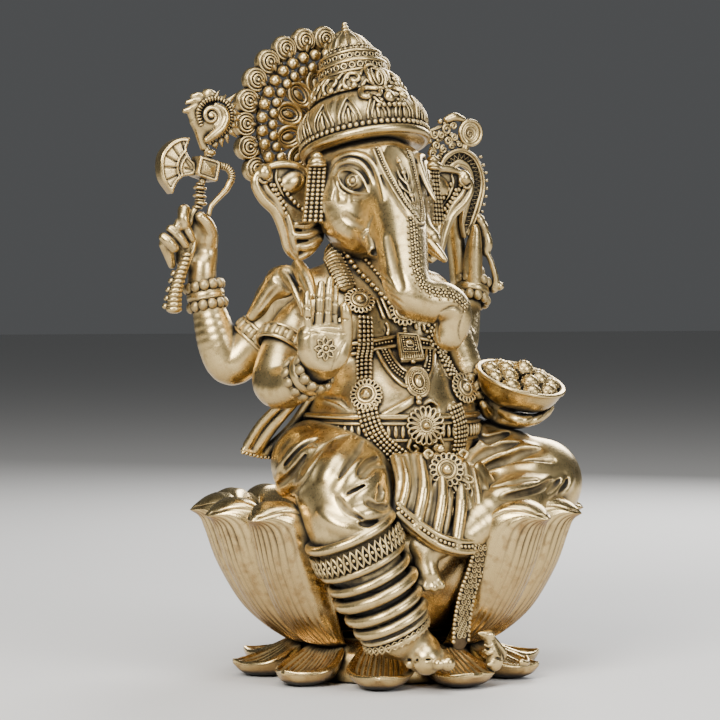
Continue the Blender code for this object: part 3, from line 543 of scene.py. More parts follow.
# ---- materials ----
def brass(name, polish=(0.82, 0.62, 0.29), tone_and_underside_shade=(0.42, 0.29, 0.12), dirt=(0.010, 0.0075, 0.005), reach=4.2,
          clean=(0.56, 0.93), crease=(0.45, 0.50), roughness=0.22):
    """Antiqued brass: bright highs, golden flanks and near-black patina in the crevices. The darker shade
    colour is painted shade on downward-facing surfaces and random tone in noise patches.
    """
    material = bpy.data.materials.new(name)
    material.use_nodes = True
    nodes = material.node_tree.nodes
    links = material.node_tree.links
    shader = nodes["Principled BSDF"]
    place = nodes.new("ShaderNodeTexCoord")
    cloud = noise_node(nodes, links, place, 260.0, 5.0)
    grain = noise_node(nodes, links, place, 1500.0, 4.0)

    hollow = nodes.new("ShaderNodeAmbientOcclusion")
    hollow.samples = 8
    hollow.inputs["Distance"].default_value = reach * MM
    geometry = nodes.new("ShaderNodeNewGeometry")
    sharp = ramp_node(nodes, *crease)
    links.new(geometry.outputs["Pointiness"], sharp.inputs["Fac"])
    spread = math_node(nodes, "MULTIPLY_ADD", None, 0.22)
    links.new(cloud.outputs["Fac"], spread.inputs[0])
    spread.inputs[2].default_value = -0.11
    opened = math_node(nodes, "ADD")
    links.new(hollow.outputs["AO"], opened.inputs[0])
    links.new(spread.outputs[0], opened.inputs[1])
    rubbed = ramp_node(nodes, *clean)
    links.new(opened.outputs[0], rubbed.inputs["Fac"])
    worn = math_node(nodes, "MULTIPLY")
    links.new(rubbed.outputs["Color"], worn.inputs[0])
    links.new(sharp.outputs["Color"], worn.inputs[1])

    # Painted shade: surfaces facing downwards take the darker shade colour, as if they mirrored a dark
    # surface below; low noise patches take it too, as random tone.
    facing = nodes.new("ShaderNodeSeparateXYZ")
    links.new(geometry.outputs["Normal"], facing.inputs[0])
    under = range_node(nodes, 0.0, 1.0)
    under.inputs["From Min"].default_value = -0.75
    under.inputs["From Max"].default_value = 0.10
    links.new(facing.outputs["Z"], under.inputs["Value"])
    patch = ramp_node(nodes, 0.22, 0.50)
    links.new(cloud.outputs["Fac"], patch.inputs["Fac"])
    underside_shade_and_tone_factor = math_node(nodes, "MULTIPLY")
    links.new(under.outputs["Result"], underside_shade_and_tone_factor.inputs[0])
    links.new(patch.outputs["Color"], underside_shade_and_tone_factor.inputs[1])
    polish_with_underside_shade = mix_node(nodes, tone_and_underside_shade, polish)
    links.new(underside_shade_and_tone_factor.outputs[0], polish_with_underside_shade.inputs["Factor"])
    colour = mix_node(nodes, dirt, polish)
    links.new(worn.outputs[0], colour.inputs["Factor"])
    links.new(polish_with_underside_shade.outputs["Result"], colour.inputs["B"])
    links.new(colour.outputs["Result"], shader.inputs["Base Color"])

    metal = range_node(nodes, 0.25, 1.0)
    links.new(worn.outputs[0], metal.inputs["Value"])
    links.new(metal.outputs["Result"], shader.inputs["Metallic"])
    gloss = range_node(nodes, 0.60, roughness)
    links.new(worn.outputs[0], gloss.inputs["Value"])
    smear = math_node(nodes, "MULTIPLY_ADD", None, 0.14)
    links.new(grain.outputs["Fac"], smear.inputs[0])
    links.new(gloss.outputs["Result"], smear.inputs[2])
    links.new(smear.outputs[0], shader.inputs["Roughness"])

    bump = nodes.new("ShaderNodeBump")
    bump.inputs["Strength"].default_value = 0.16
    bump.inputs["Distance"].default_value = 0.2 * MM
    links.new(grain.outputs["Fac"], bump.inputs["Height"])
    links.new(bump.outputs["Normal"], shader.inputs["Normal"])
    return material


def mix_node(nodes, first, second):
    node = nodes.new("ShaderNodeMix")
    node.data_type = "RGBA"
    node.inputs["A"].default_value = (*first, 1)
    node.inputs["B"].default_value = (*second, 1)
    return node


def noise_node(nodes, links, place, scale, detail):
    node = nodes.new("ShaderNodeTexNoise")
    node.inputs["Scale"].default_value = scale
    node.inputs["Detail"].default_value = detail
    links.new(place.outputs["Object"], node.inputs["Vector"])
    return node


def ramp_node(nodes, low, high):
    node = nodes.new("ShaderNodeValToRGB")
    node.color_ramp.elements[0].position = low
    node.color_ramp.elements[1].position = min(high, 1.0)
    return node


def math_node(nodes, operation, first=None, second=None):
    node = nodes.new("ShaderNodeMath")
    node.operation = operation
    for socket, value in zip(node.inputs, (first, second)):
        if value is not None:
            socket.default_value = value
    return node


def range_node(nodes, low, high):
    node = nodes.new("ShaderNodeMapRange")
    node.inputs["To Min"].default_value = low
    node.inputs["To Max"].default_value = high
    return node


BRASS = brass("antique_brass")
BEAD_BRASS = brass("beaded_brass", reach=2.2, clean=(0.55, 0.93), crease=(0.38, 0.48))
# The lotus has a deeper shade colour: painted shade on its downward-facing surfaces, standing in for a dark
# reflection from below.
LOTUS_BRASS = brass("lotus_brass", tone_and_underside_shade=(0.30, 0.18, 0.07), reach=4.2, clean=(0.42, 0.80), roughness=0.19)
# Near-black brass for the lace backing: painted shade seen through the openwork.
LACE_SHADE_BRASS = brass("lace_shade_brass", polish=(0.16, 0.11, 0.06), tone_and_underside_shade=(0.06, 0.04, 0.02), roughness=0.45)


# ---- lotus ----
LOTUS_START = 22.0
LOTUS_STEP = 22.4
LOTUS_COUNT = 13
PETAL_LAP = 1.4
PETAL_HALF = ((0, 7.2), (0.12, 9.8), (0.35, 12.6), (0.6, 13.4), (0.78, 13.2), (0.88, 11.4), (0.95, 7.8),
              (0.985, 4.4), (1, 1.4))
PETAL_RIM_REACH = ((0, 34), (0.1, 39.5), (0.3, 47), (0.55, 54.5), (0.78, 60.5), (0.88, 65.5), (0.95, 72),
                   (1, 79.4))
PETAL_RIM_HEIGHT = ((0, 14), (0.1, 17.5), (0.3, 29), (0.55, 46.5), (0.78, 62.5), (0.88, 68), (0.95, 69.8),
                    (1, 67.9))
PETAL_FACE_REACH = ((0, 38.5), (0.1, 46.8), (0.3, 59.4), (0.55, 69.4), (0.78, 74.6), (0.9, 77), (1, 80.9))
PETAL_FACE_HEIGHT = ((0, 14), (0.1, 17), (0.3, 28), (0.55, 44.5), (0.78, 58.5), (0.9, 64), (1, 66.8))
PETAL_BACK_REACH = ((0, 35.5), (0.1, 42), (0.3, 52), (0.55, 58.5), (0.78, 63), (0.88, 69), (0.95, 74.8),
                    (1, 80.2))
PETAL_BACK_HEIGHT = ((0, 14.5), (0.1, 18.5), (0.3, 31), (0.55, 50), (0.78, 70.5), (0.88, 74.0),
                     (0.95, 72.6), (1, 68.8))
BASE_START = -32.0
BASE_COUNT = 10


def compass(degrees):
    """Outward and sideways directions at an angle from the front."""
    angle = math.radians(degrees)
    return vec(math.sin(angle), -math.cos(angle), 0), vec(math.cos(angle), math.sin(angle), 0)


def table(places, knots):
    """Smooth values between (place, value) knots."""
    knots = np.asarray(knots, dtype=np.float64)
    dense = smooth_path(knots, 12)
    return np.interp(places, dense[:, 0], dense[:, 1])


def shell_faces(rows, columns):
    """Quads of two facing grids stitched round their border; the first grid faces out."""
    grid = np.arange(rows * columns).reshape(rows, columns)
    first = np.stack((grid[:-1, :-1], grid[:-1, 1:], grid[1:, 1:], grid[1:, :-1]), axis=-1).reshape(-1, 4)
    second = first[:, ::-1] + rows * columns
    border = [*grid[0], *grid[1:, -1], *grid[-1, -2::-1], *grid[-2:0:-1, 0]]
    border = np.array(border)
    after = np.roll(border, -1)
    rim = np.stack((border, border + rows * columns, after + rows * columns, after), axis=-1)
    return np.vstack((first, second, rim))


def lotus_petal(index):
    """A thick petal of lens section: full face, rounded shoulder and a beak bent outwards, with veins."""
    outward, sideways = compass(LOTUS_START + LOTUS_STEP * index)
    rearmost = LOTUS_COUNT // 2
    lap = 0.0 if index == rearmost else math.copysign(PETAL_LAP, rearmost - index)
    t = 1.0 - (1.0 - np.linspace(0, 1, 90)) ** 1.4
    u = np.sin(np.linspace(-0.5, 0.5, 71) * np.pi)
    t, u = np.meshgrid(t, u, indexing="ij")
    half = table(t, PETAL_HALF)
    full = np.sqrt(np.maximum(1.0 - u * u, 0.0))
    vein = (0.5 + 0.5 * np.cos(2 * np.pi * (5.5 * u + 0.12 * np.sin(6 * t + index)))) ** 3
    depth = table(t, ((0, 1.0), (0.2, 0.9), (0.42, 0.35), (0.6, 0.45), (0.78, 1.0), (0.9, 0.7), (0.97, 0.1),
                      (1, 0)))
    furrow = vein * depth * full
    rim_reach, rim_height = table(t, PETAL_RIM_REACH), table(t, PETAL_RIM_HEIGHT)
    setback = lap * u * half / half.max() - (1.4 if index == rearmost else 0.0)

    def side(reach, height, swell):
        out = rim_reach + (reach - rim_reach) * full + swell + setback
        up = rim_height + (height - rim_height) * full
        return out[..., None] * outward + (half * u)[..., None] * sideways + up[..., None] * UP

    front_face = side(table(t, PETAL_FACE_REACH), table(t, PETAL_FACE_HEIGHT), 0.5 - furrow)
    back_face = side(table(t, PETAL_BACK_REACH), table(t, PETAL_BACK_HEIGHT), -0.5)
    points = np.vstack((front_face.reshape(-1, 3), back_face.reshape(-1, 3)))
    node = f"lotus_petal_{index + 1:02d}"
    return make_piece(node + "_cast", points, shell_faces(*t.shape), LOTUS_BRASS, (node,))


def base_petal(index):
    """A low boat-shaped petal: dished and ribbed above, with a rolled rim and an upturned tip."""
    angle = BASE_START + 360 / BASE_COUNT * index
    outward, sideways = compass(angle)
    blunt = index == 1
    t = 1.0 - (1.0 - np.linspace(0, 1, 50)) ** 1.3
    t, u = np.meshgrid(t, np.sin(np.linspace(-0.5, 0.5, 65) * np.pi), indexing="ij")
    reach = table(t, ((0, 39), (0.3, 46), (0.6, 54), (0.85, 61), (1, 65)))
    if blunt:
        half = table(t, ((0, 9.5), (0.3, 12.5), (0.6, 13.6), (0.8, 11.8), (0.93, 7.6), (1, 2.5)))
    else:
        half = table(t, ((0, 9.5), (0.3, 12.6), (0.55, 13.2), (0.78, 9.4), (0.92, 4.4), (1, 1.0)))
    rim = table(t, ((0, 14.5), (0.3, 10.8), (0.6, 7.8), (0.85, 6.8), (1, 7.2)))
    dish = table(t, ((0, 1.0), (0.3, 3.2), (0.6, 4.2), (0.85, 2.6), (1, 0.2)))
    hollow = np.clip(1.0 - (np.abs(u) / 0.84) ** 2.6, 0.0, 1.0)
    rib = (0.5 + 0.5 * np.cos(2 * np.pi * 6.5 * u)) ** 2
    ribs = 1.0 * rib * hollow * table(t, ((0, 0.7), (0.3, 1), (0.75, 0.8), (0.92, 0.1), (1, 0)))
    roll = np.sqrt(np.maximum(1.0 - np.abs(u) ** 12, 0.0))
    top = rim - dish * hollow + ribs - 1.5 * (1 - roll)
    floor = table(t, ((0, 0.3), (0.6, 0.3), (0.85, 1.6), (1, 5.2)))
    belly = floor + (rim - 1.6 - floor) * np.abs(u) ** 3.2
    belly = np.minimum(belly, top - 0.15 - 0.9 * roll)
    flat = reach[..., None] * outward + (half * u)[..., None] * sideways
    upper = flat + top[..., None] * UP
    lower = flat + belly[..., None] * UP - (0.4 * half * np.abs(u) ** 8 * 0.1)[..., None] * outward
    points = np.vstack((upper.reshape(-1, 3), lower.reshape(-1, 3)))
    node = f"base_petal_{index + 1:02d}"
    return make_piece(node + "_cast", points, shell_faces(*t.shape), LOTUS_BRASS, (node,))


def revolve(profile, count=96, centre=(0, 0, 0), axis=UP, ripple=None):
    """Turn (radius, height) rows; ripple(angles, height) changes a ring's radius."""
    profile = np.asarray(profile, dtype=np.float64)
    axes = axes_along(axis, FRONT)
    turns = 2 * np.pi * np.arange(count) / count
    rings = []
    for radius, height in profile:
        reach = radius if ripple is None else radius + ripple(turns, height)
        ring = np.outer(np.cos(turns) * reach, axes[:, 0]) + np.outer(np.sin(turns) * reach, axes[:, 1])
        rings.append(ring + axes[:, 2] * height + centre)
    faces = []
    rows = len(profile)
    for i in range(rows - 1):
        for j in range(count):
            k = (j + 1) % count
            faces.append((i * count + j, i * count + k, (i + 1) * count + k, (i + 1) * count + j))
    return np.vstack(rings), np.array(faces)


def lotus_core():
    """Hub and cup behind the petals, with the seat pad on top."""
    hub = ((0.1, 0), (40.2, 0), (40.5, 1), (40.5, 10), (38, 13), (33, 16), (30, 17), (0.1, 17))
    make_piece("base_hub_cast", *revolve(hub), LOTUS_BRASS, ("base_hub",))
    cup = smooth_path(((26, 17.4), (38, 24), (47.5, 36), (53, 48), (55.3, 57), (54.6, 60.2), (52, 61.5)), 4)
    cup = np.vstack(((0.1, 17.4), cup, (0.1, 61.5)))
    make_piece("lotus_cup_cast", *revolve(cup), LOTUS_BRASS, ("lotus_cup",))


lotus_core()
for number in range(LOTUS_COUNT):
    lotus_petal(number)
for number in range(BASE_COUNT):
    base_petal(number)


# ---- figure: cloth-wrapped legs and feet ----
def draped_ring(centre, radius, thick, droop=2.5, tilt=0.25, sweep=(-115, 115), spacing=1.6):
    """A rolled fold round the front of a leg, sagging at the front and rising to the inner side."""
    turns = np.radians(np.linspace(*sweep, 40))
    side = np.outer(np.sin(turns) * radius, ACROSS)
    front = np.outer(np.cos(turns) * radius, vec(TOWARD[0], TOWARD[1], 0))
    height = -droop * np.cos(turns) + tilt * radius * np.sin(turns)
    path = np.asarray(centre) + side + front + np.outer(height, UP)
    return drawn(even_path(path, spacing), thick, 0.55)


def lattice_band(pile, path_low, path_high, step=2.6, wire=0.42):
    """Zigzag wires and beads between two rows of points of the same length."""
    low, high = even_path(path_low, step), even_path(path_high, step)
    count = min(len(low), len(high))
    zigzag = np.array([low[i] if i % 2 else high[i] for i in range(count)])
    zagzig = np.array([high[i] if i % 2 else low[i] for i in range(count)])
    for line in (zigzag, zagzig):
        pile.tube(smooth_path(line, 3), wire, 6)
    pile.beads((low[:count] + high[:count]) / 2, wire * 1.5)


SHIN = ((-41, -44, 64, 15.5), (-38, -47, 54, 14.8), (-34.5, -49, 45, 13.6), (-30.5, -50.5, 36, 12.2),
        (-27, -53, 28, 11.2), (-25.5, -54, 23.5, 10.6))


def sculpt_right_leg():
    clay = Clay()
    clay.add(Egg((-37.5, -9, 87), (18, 20, 18)))
    clay.add(Limb([(-14, -4, 83, 17), (-29, -20, 83, 19), (-40, -35, 77, 17.5)]), 9)
    clay.add(Egg((-38.5, -38, 73), (17, 16, 17)), 8)
    clay.add(Limb(SHIN), 6)
    clay.freeze()
    for strand, radius in (
            (((-30.4, -48.5), (-24.2, -39.7), (-16.6, -33.4)), 2.6), (((-33.9, -46.0), (-28.6, -38.4),
                                                                       (-21.6, -32.1)), 2.4),
                           (((-24.2, -51.6), (-17.9, -43.5), (-10.3, -33.4)), 2.4),
            (((-15.3, -48.5), (-9.1, -38.4), (-2.8, -32.1)), 3.4), (((-9.1, -53.5), (-1.5, -43.5),
                                                                     (6.7, -37.5)), 3.2),
                           (((-5.3, -57.9), (3.5, -51.6), (10.1, -46.0)), 3.0),
            (((-1.5, -63.6), (6.0, -62.3), (12.6, -61.7)), 2.4), (((-5.3, -68.6), (4.2, -70.2),
                                                                   (11.1, -67.4)), 2.6),
                           (((-16.6, -62.3), (-11.6, -66.7), (-4.0, -70.5)), 2.2),
            (((-34.9, -52.3), (-32.3, -54.8), (-30.4, -56.0)), 2.2)):
        clay.ridge(strand, radius, 3.0, -0.6 * radius)
    for strand, radius in (
            (((-31.1, -43.5), (-24.2, -36.5), (-17.9, -32.4)), 0.9), (((-33.6, -51.6), (-27.3, -46.0),
                                                                       (-21.6, -38.4)), 1.1),
                           (((-28.6, -54.8), (-22.3, -48.5), (-15.3, -37.8)), 1.3),
            (((-8.4, -48.5), (-1.5, -38.4), (1.0, -33.4)), 1.2), (((-1.5, -47.2), (2.9, -42.2),
                                                                   (7.3, -39.7)), 1.4),
                           (((1.0, -48.5), (5.4, -43.5), (9.8, -43.5)), 1.2),
            (((-5.3, -55.1), (1.0, -52.3), (7.3, -48.5)), 0.8), (((2.9, -58.5), (7.3, -60.4),
                                                                  (11.4, -60.1)), 1.6),
                           (((-0.3, -67.4), (4.8, -67.7), (10.4, -66.7)), 1.3),
            (((7.3, -51.6), (8.9, -54.8), (7.3, -57.3)), 1.2), (((-9.1, -56.7), (-5.3, -61.7),
                                                                 (1.0, -65.2)), 0.7)):
        clay.groove(strand, radius, 1.6, -0.2)
    for i, (along, radius, thick) in enumerate((
            (0.02, 16.2, 2.1), (0.25, 15.2, 1.7), (0.37, 14.6, 1.9), (0.50, 14.4, 2.6), (0.64, 13.2, 2.5),
            (0.77, 12.6, 2.5), (0.89, 11.8, 2.2), (1.0, 11.2, 2.0))):
        clay.add(draped_ring(shin_at(along), radius, thick, 3.4 - 0.3 * (i % 2), 0.42), 0.9)
    for along, radius in ((0.43, 16.2), (0.57, 15.6), (0.70, 14.6), (0.83, 13.6), (0.945, 12.8)):
        clay.cut(draped_ring(shin_at(along), radius, 0.8, 3.2, 0.42, (-70, 120)), 0.6)
    for strand in (((-7.8, -91.9), (1.0, -96.0), (11.1, -94.4), (19.3, -86.2)), ((-5.3, -98.8),
                                                                                 (4.8, -101.3),
                                                                                 (14.2, -98.8),
                                                                                 (21.8, -91.9)),
                   ((-10.3, -86.2), (-1.5, -88.4), (8.6, -86.2), (17.4, -78.7))):
        clay.groove(strand, 0.45, 0.4)
    sculpt_right_foot(clay)
    return clay


def shin_at(along):
    places = np.linspace(0, 1, len(SHIN))
    return np.array([np.interp(along, places, column) for column in np.array(SHIN).T[:3]])


RIGHT_TOES = ((-11.6, -69.3, 12.4, 3.0), (-15.4, -68.4, 12.2, 2.35), (-18.6, -66.2, 12.0, 2.2),
              (-21.3, -63.3, 11.8, 2.05), (-23.3, -60.0, 11.7, 1.9))


def sculpt_right_foot(clay):
    clay.add(Limb([(-21, -52, 24, 8.4), (-18.5, -53.5, 19, 7.8), (-16.5, -57, 15.8, 7.0)]), 2.0)
    clay.add(Limb([(-16.5, -57, 15.5, 7.2), (-17, -62, 13.6, 6.4)]), 3.0)
    ankle = Egg((-24.5, -55.5, 21.5), (2.4, 2.4, 2.4))
    clay.add(ankle, 2.5)
    for x, y, z, radius in RIGHT_TOES:
        root = vec(x, y, z) + vec(1.6, 7.2, 1.4)
        middle = vec(x, y, z) + vec(0.7, 3.0, 1.2)
        clay.add(Limb([(*root, radius * 1.0), (*middle, radius * 0.86), (x, y, z, radius)]), 0.8)
        clay.cut(Egg((x - 0.35 * radius, y - 0.55 * radius, z + 0.95 * radius), (radius * 0.55,
                                                                                 radius * 0.55, 0.35)), 0.2)


def knee_lattice():
    """Openwork hems under the knee and at the ankle."""
    pile = Pile()
    for low, high, radius in ((0.215, 0.08, 17.2), (1.04, 0.93, 12.6)):
        rows = []
        for along in (low, high):
            centre = shin_at(min(along, 1.0)) - UP * max(along - 1.0, 0) * 40
            ring = draped_ring(centre, radius, 1.0, 3.4, 0.42, (-100, 112)).world
            rows.append(ring)
        lattice_band(pile, rows[0], rows[1], 2.7, 0.5)
    return pile


def sculpt_left_leg():
    clay = Clay()
    clay.add(Egg((33, -8, 88), (17, 19, 16)))
    clay.add(Limb([(12, -6, 84, 17), (32, -17, 85, 17), (55, -29, 80, 14.2)]), 8)
    clay.add(Egg((56, -30, 79.5), (14.4, 14.4, 14.2)), 7)
    clay.add(Limb([(54, -35, 75, 12.5), (34, -46, 71, 11.8), (16, -52, 66, 10.5), (4, -54.5, 60, 8.5)]), 8)
    clay.freeze()
    for strand, radius in (
            (((42.7, -37.6), (48.9, -33.4), (56.3, -31.3), (63.6, -29.7), (68.9, -31.3)), 2.4),
                           (((48.9, -42.3), (57.3, -38.1), (65.2, -35.5), (72.0, -36.0)), 2.8),
            (((53.1, -46.0), (61.5, -44.4), (69.9, -43.3), (77.3, -42.8)), 3.6),
                           (((55.2, -53.3), (63.6, -53.3), (72.0, -51.7), (77.3, -48.6)), 3.0),
            (((78.3, -54.9), (80.9, -51.7), (83.5, -48.6)), 1.6), (((83.5, -54.9), (85.6, -51.2),
                                                                    (87.0, -47.0)), 1.6)):
        clay.ridge(strand, radius, 3.0, -0.5 * radius)
    for strand, radius in (
            (((45.8, -42.3), (50.0, -39.2), (55.2, -36.8), (61.0, -35.5), (65.2, -34.2)), 1.9),
                           (((50.0, -45.4), (55.2, -42.8), (61.5, -41.0), (67.8, -38.1), (73.6, -36.8)),
                            1.7),
            (((56.3, -43.5), (63.6, -42.6), (72.0, -42.0), (79.4, -41.0)), 1.1),
                           (((54.2, -52.0), (61.5, -50.9), (68.9, -49.6), (73.1, -49.9)), 1.1),
            (((58.4, -56.7), (66.2, -54.9), (73.1, -53.0), (78.8, -49.6)), 1.3),
                           (((47.9, -31.3), (52.1, -32.9), (56.3, -31.8), (61.5, -30.2)), 1.5),
            (((77.3, -54.4), (79.9, -51.7), (82.2, -49.1)), 0.9), (((81.4, -54.4), (84.1, -51.7),
                                                                    (85.1, -49.1)), 0.9),
            (((43.7, -35.5), (45.8, -34.4), (47.9, -32.9)), 1.2), (((47.9, -47.0), (50.5, -49.6),
                                                                    (52.6, -52.8)), 1.0)):
        clay.groove(strand, radius, 1.8, -0.2)
    foot = ((-6, -54.5, 58, 6.4), (-11, -53.5, 54.5, 5.6), (-12.6, -54.3, 49.5, 4.7), (-12.4, -56, 45.5,
                                                                                       4.3))
    clay.add(Limb(foot), 2.0)
    clay.add(Egg((-14.2, -51.6, 56.6), (4.8, 4.6, 4.8)), 2.0)
    for x, y, z, radius in ((-9.2, -59.0, 41.6, 2.3), (-12.2, -59.2, 40.6, 1.9), (-14.9, -57.8, 40.8, 1.75),
                            (-16.8, -55.6, 41.6, 1.6), (-17.8, -53.2, 43, 1.45)):
        root = 0.5 * (vec(x, y, z) + vec(-12.6, -55.6, 46.6))
        clay.add(Limb([(*root, radius * 1.05), (x, y, z, radius)]), 0.7)
    return clay


# ---- apron, lace, sash and belt ----
HEM = smooth_path(((-25.5, -52.5, 71.5), (-19, -57, 64.8), (-10.5, -60.6, 58.8), (1, -60.5, 56.2),
                   (11.5, -56.5, 57.8), (18, -50.5, 61.5)), 10)
YOKE = smooth_path(((-20, -43.5, 90), (-8.2, -47, 90.5), (4, -47.5, 88.5), (16.3, -43.7, 83.5),
                    (22, -40, 80)), 12)


def pleat(share, sway=0.0):
    """Points down one pleat, from the waist to the hem."""
    top = YOKE[int(share * (len(YOKE) - 1))]
    foot = HEM[int(share * (len(HEM) - 1))]
    middle = 0.5 * (top + foot) + vec(sway, -3.6, 1.0)
    return top, middle, foot


def sculpt_apron():
    clay = Clay()
    for share in np.linspace(0.04, 0.96, 12):
        top, middle, foot = pleat(share)
        inward = vec(0, 2.2, 0)
        clay.add(Limb([(*(top + inward), 2.4), (*(middle + inward), 2.4), (*(foot + inward), 2.2)]), 1.2)
    for share, radius in ((0.05, 1.7), (0.2, 2.3), (0.36, 2.1), (0.53, 2.4), (0.7, 2.0), (0.86, 2.2),
                          (0.97, 1.6)):
        top, middle, foot = pleat(share, 0.5 - share)
        out = vec(0, -0.9, 0)
        clay.add(Limb([(*(top + out), radius * 0.75), (*(middle + out), radius), (*(foot + out),
                                                                                  radius * 0.95)]), 0.5)
    for lift, radius in ((2.0, 1.15), (-1.9, 1.35)):
        line = HEM + vec(0, -2.0, lift)
        clay.add(drawn(even_path(line, 1.6), radius, 0.8), 0.4)
    under = HEM + vec(0, 0.6, -2.6)
    clay.add(drawn(even_path(under, 1.6), 1.6, 0.9), 1.0)
    for share in (0.28, 0.45, 0.62, 0.78):
        top, middle, foot = pleat(share)
        line = smooth_path([top + vec(0, -1.6, -5), middle + vec(0, -1.6, 0), foot + vec(0, -1.6, 4)], 8)
        clay.cut(drawn(line, 0.7, 0.3), 0.5)
    for start, middle, end, radius in (
            ((19, -42, 84), (24, -46, 73), (23.5, -47.5, 63), 4.6), ((16, -45, 82), (19.5, -49.5, 72),
                                                                     (20, -51, 62), 3.2)):
        clay.add(Limb([(*start, radius * 0.9), (*middle, radius), (*end, radius * 0.8)], flat=0.5,
                      flat_axis=(0.5, -0.8, 0.2)), 0.6)
    return clay


def hem_beads():
    pile = Pile()
    pile.beads(even_path(HEM + vec(0, -2.7, 0.1), 1.85), 0.82, 10, 7)
    return pile


LACE = smooth_path(((8.4, -61, 55.4), (6.6, -59.4, 47), (3.2, -58.8, 38), (0.2, -59.8, 28), (-1.6, -61.8,
                                                                                             19.6)), 8)


def build_lace():
    """Openwork tail: a dark backing that paints the shade seen through the openwork, beaded edges and rings
    set in staggered rows.
    """
    backing = Clay()
    backing.add(Limb(np.column_stack((LACE + vec(0, 0.5, 0), np.full(len(LACE), 4.1))), 1, flat=0.2,
                     flat_axis=(0.25, -1, 0)))
    backing.mesh("lace_shadow_backing", LACE_SHADE_BRASS, 0.5, replaces=("lace_tail",))
    pile = Pile()
    side = unit((1, 0.28, 0))
    for sign in (-1, 1):
        edge = even_path(LACE + side * sign * 4.2 + vec(0, -0.5, 0), 1.7)
        pile.beads(edge, 0.85, 8, 6)
    rows = even_path(LACE, 2.2)
    for i, spot in enumerate(rows[:-1]):
        for j in (-1, 0, 1) if i % 2 else (-0.5, 0.5):
            middle = spot + side * j * 2.5 + vec(0, -0.75, 0)
            pile.ring(middle, (0.25, -1, 0.1), 1.05, 0.36, 5, 10)
            pile.egg(middle + vec(0, -0.2, 0), 0.42, None, 6, 4)
    pile.done("lace_rings", BEAD_BRASS)


def sculpt_sash():
    """Three folds of a cloth end falling behind the right hip, closed by a hem."""
    clay = Clay()
    for spots, radius in ((((-30.0, -15.6), (-40.3, -25.9), (-46.0, -34.9)), 1.9),
                          (((-25.9, -16.0), (-36.2, -27.5), (-42.3, -36.2)), 2.5),
                          (((-21.0, -16.4), (-28.4, -27.9), (-37.8, -37.0)), 2.1)):
        places = np.vstack([at_depth([spot], depth) for spot, depth in zip(spots, (-6, 1, 6))])
        clay.add(Limb(np.column_stack((places, (radius * 0.8, radius, radius * 1.1)))), 0.35)
    clay.add(drawn(even_path(at_depth(((-47.7, -37.0), (-44.4, -38.0), (-40.3, -38.8), (-36.2, -39.3)), 6),
                             1.5), 1.5, 0.9), 0.7)
    return clay


def sash_beads():
    pile = Pile()
    hem = even_path(at_depth(((-48.1, -38.0), (-44.4, -39.0), (-40.3, -39.9), (-35.8, -40.1)), 5.2), 1.7)
    pile.beads(hem, 0.8, 8, 6)
    return pile


def belt_line(height, out, count=150):
    """A line round the waist at one height, a little off the body."""
    turns = 2 * np.pi * np.arange(count) / count
    starts = np.column_stack((-3 + 60 * np.sin(turns), -5 - 60 * np.cos(turns), np.full(count, height)))
    inward = np.column_stack((-np.sin(turns), np.cos(turns), np.zeros(count)))
    return body.cast(starts, inward) - inward * out


def build_belt():
    """Two rolled bands with a row of ribbed blocks below them."""
    pile = Pile()
    for height, radius, out in ((106.3, 1.25, 0.4), (103.6, 0.7, 0.5), (97.0, 0.8, 0.5)):
        line = belt_line(height, out)
        pile.tube(line, radius, 8, closed=True)
    blocks = even_path(belt_line(100.3, 0.5), 2.9, closed=True)
    for here, after in zip(blocks, np.roll(blocks, -1, axis=0)):
        along = unit(after - here)
        axes = np.column_stack((along, np.cross(UP, along), UP))
        pile.egg(here, (1.05, 1.3, 2.7), axes, 8, 8)
    pile.done("waist_belt_cast", BEAD_BRASS, ("waist_belt",))


# ---- body ----
def sculpt_body():
    clay = Clay()
    clay.add(Egg((-3, -6.5, 102), (37, 33.5, 33)))
    clay.add(Egg((-2, 2, 76), (37, 30, 20)), 12)
    clay.add(Egg((-5, 5, 141), (34.5, 20, 27)), 14)
    clay.add(Limb([(-29, 8, 152, 13), (-6, 10, 156, 13), (19, 8, 152, 13)]), 10)
    for x in (-20, 9.5):
        clay.add(Egg((x, -10, 141), (13.5, 9.5, 10.5)), 6)
    clay.add(Limb([(-6, 8, 158, 14), (-6, 8, 176, 12.5)]), 8)
    clay.freeze()
    navel = clay.front([(-2, 109)])[0]
    clay.cut(Egg(navel, (2.6, 3.5, 3.2)), 2.0)
    clay.add(Limb([(*(navel + vec(-3.2, 0.6, 2.0)), 0.8), (*(navel + vec(0, 0.4, 3.8)), 0.9),
                   (*(navel + vec(3.2, 0.6, 2.0)), 0.8)]), 1.0)
    return clay


def shawl_strokes(clay):
    """Edges of the cloth across the belly, and the soft folds at its side."""
    clay.ridge(((9.3, -22.7), (15.9, -19.4), (21.6, -15.7)), 1.5, 0.8, 0.2, 0.7)
    clay.ridge(((10.3, -24.4), (16.9, -20.8), (22.5, -17.5)), 0.7, 0.4, 0.6, 0.7)
    clay.ridge(((-17.1, -15.7), (-10.5, -17.5), (-4.8, -20.8)), 0.8, 0.6)
    for strand in (((-16.6, -15.2), (-10.5, -15.7), (-4.4, -17.5)), ((-9.1, -14.7), (-6.7, -17.5),
                                                                     (-3.9, -19.9))):
        clay.groove(strand, 0.6, 0.5)


body = sculpt_body()
shawl_strokes(body)
body.mesh("torso_cast", BRASS, 0.7, replaces=("torso",))
build_belt()
sculpt_right_leg().mesh("leg_right_cast", BRASS, 0.54, replaces=("leg_right",))
knee_lattice().done("leg_lattice", BEAD_BRASS)
sculpt_left_leg().mesh("leg_left_cast", BRASS, 0.6, replaces=("leg_left",))
sculpt_apron().mesh("apron_cast", BRASS, 0.4, replaces=("apron_drape",))
hem_beads().done("apron_beads", BEAD_BRASS)
build_lace()
sculpt_sash().mesh("sash_cast", BRASS, 0.45, replaces=("sash_tail",))
sash_beads().done("sash_beads", BEAD_BRASS)


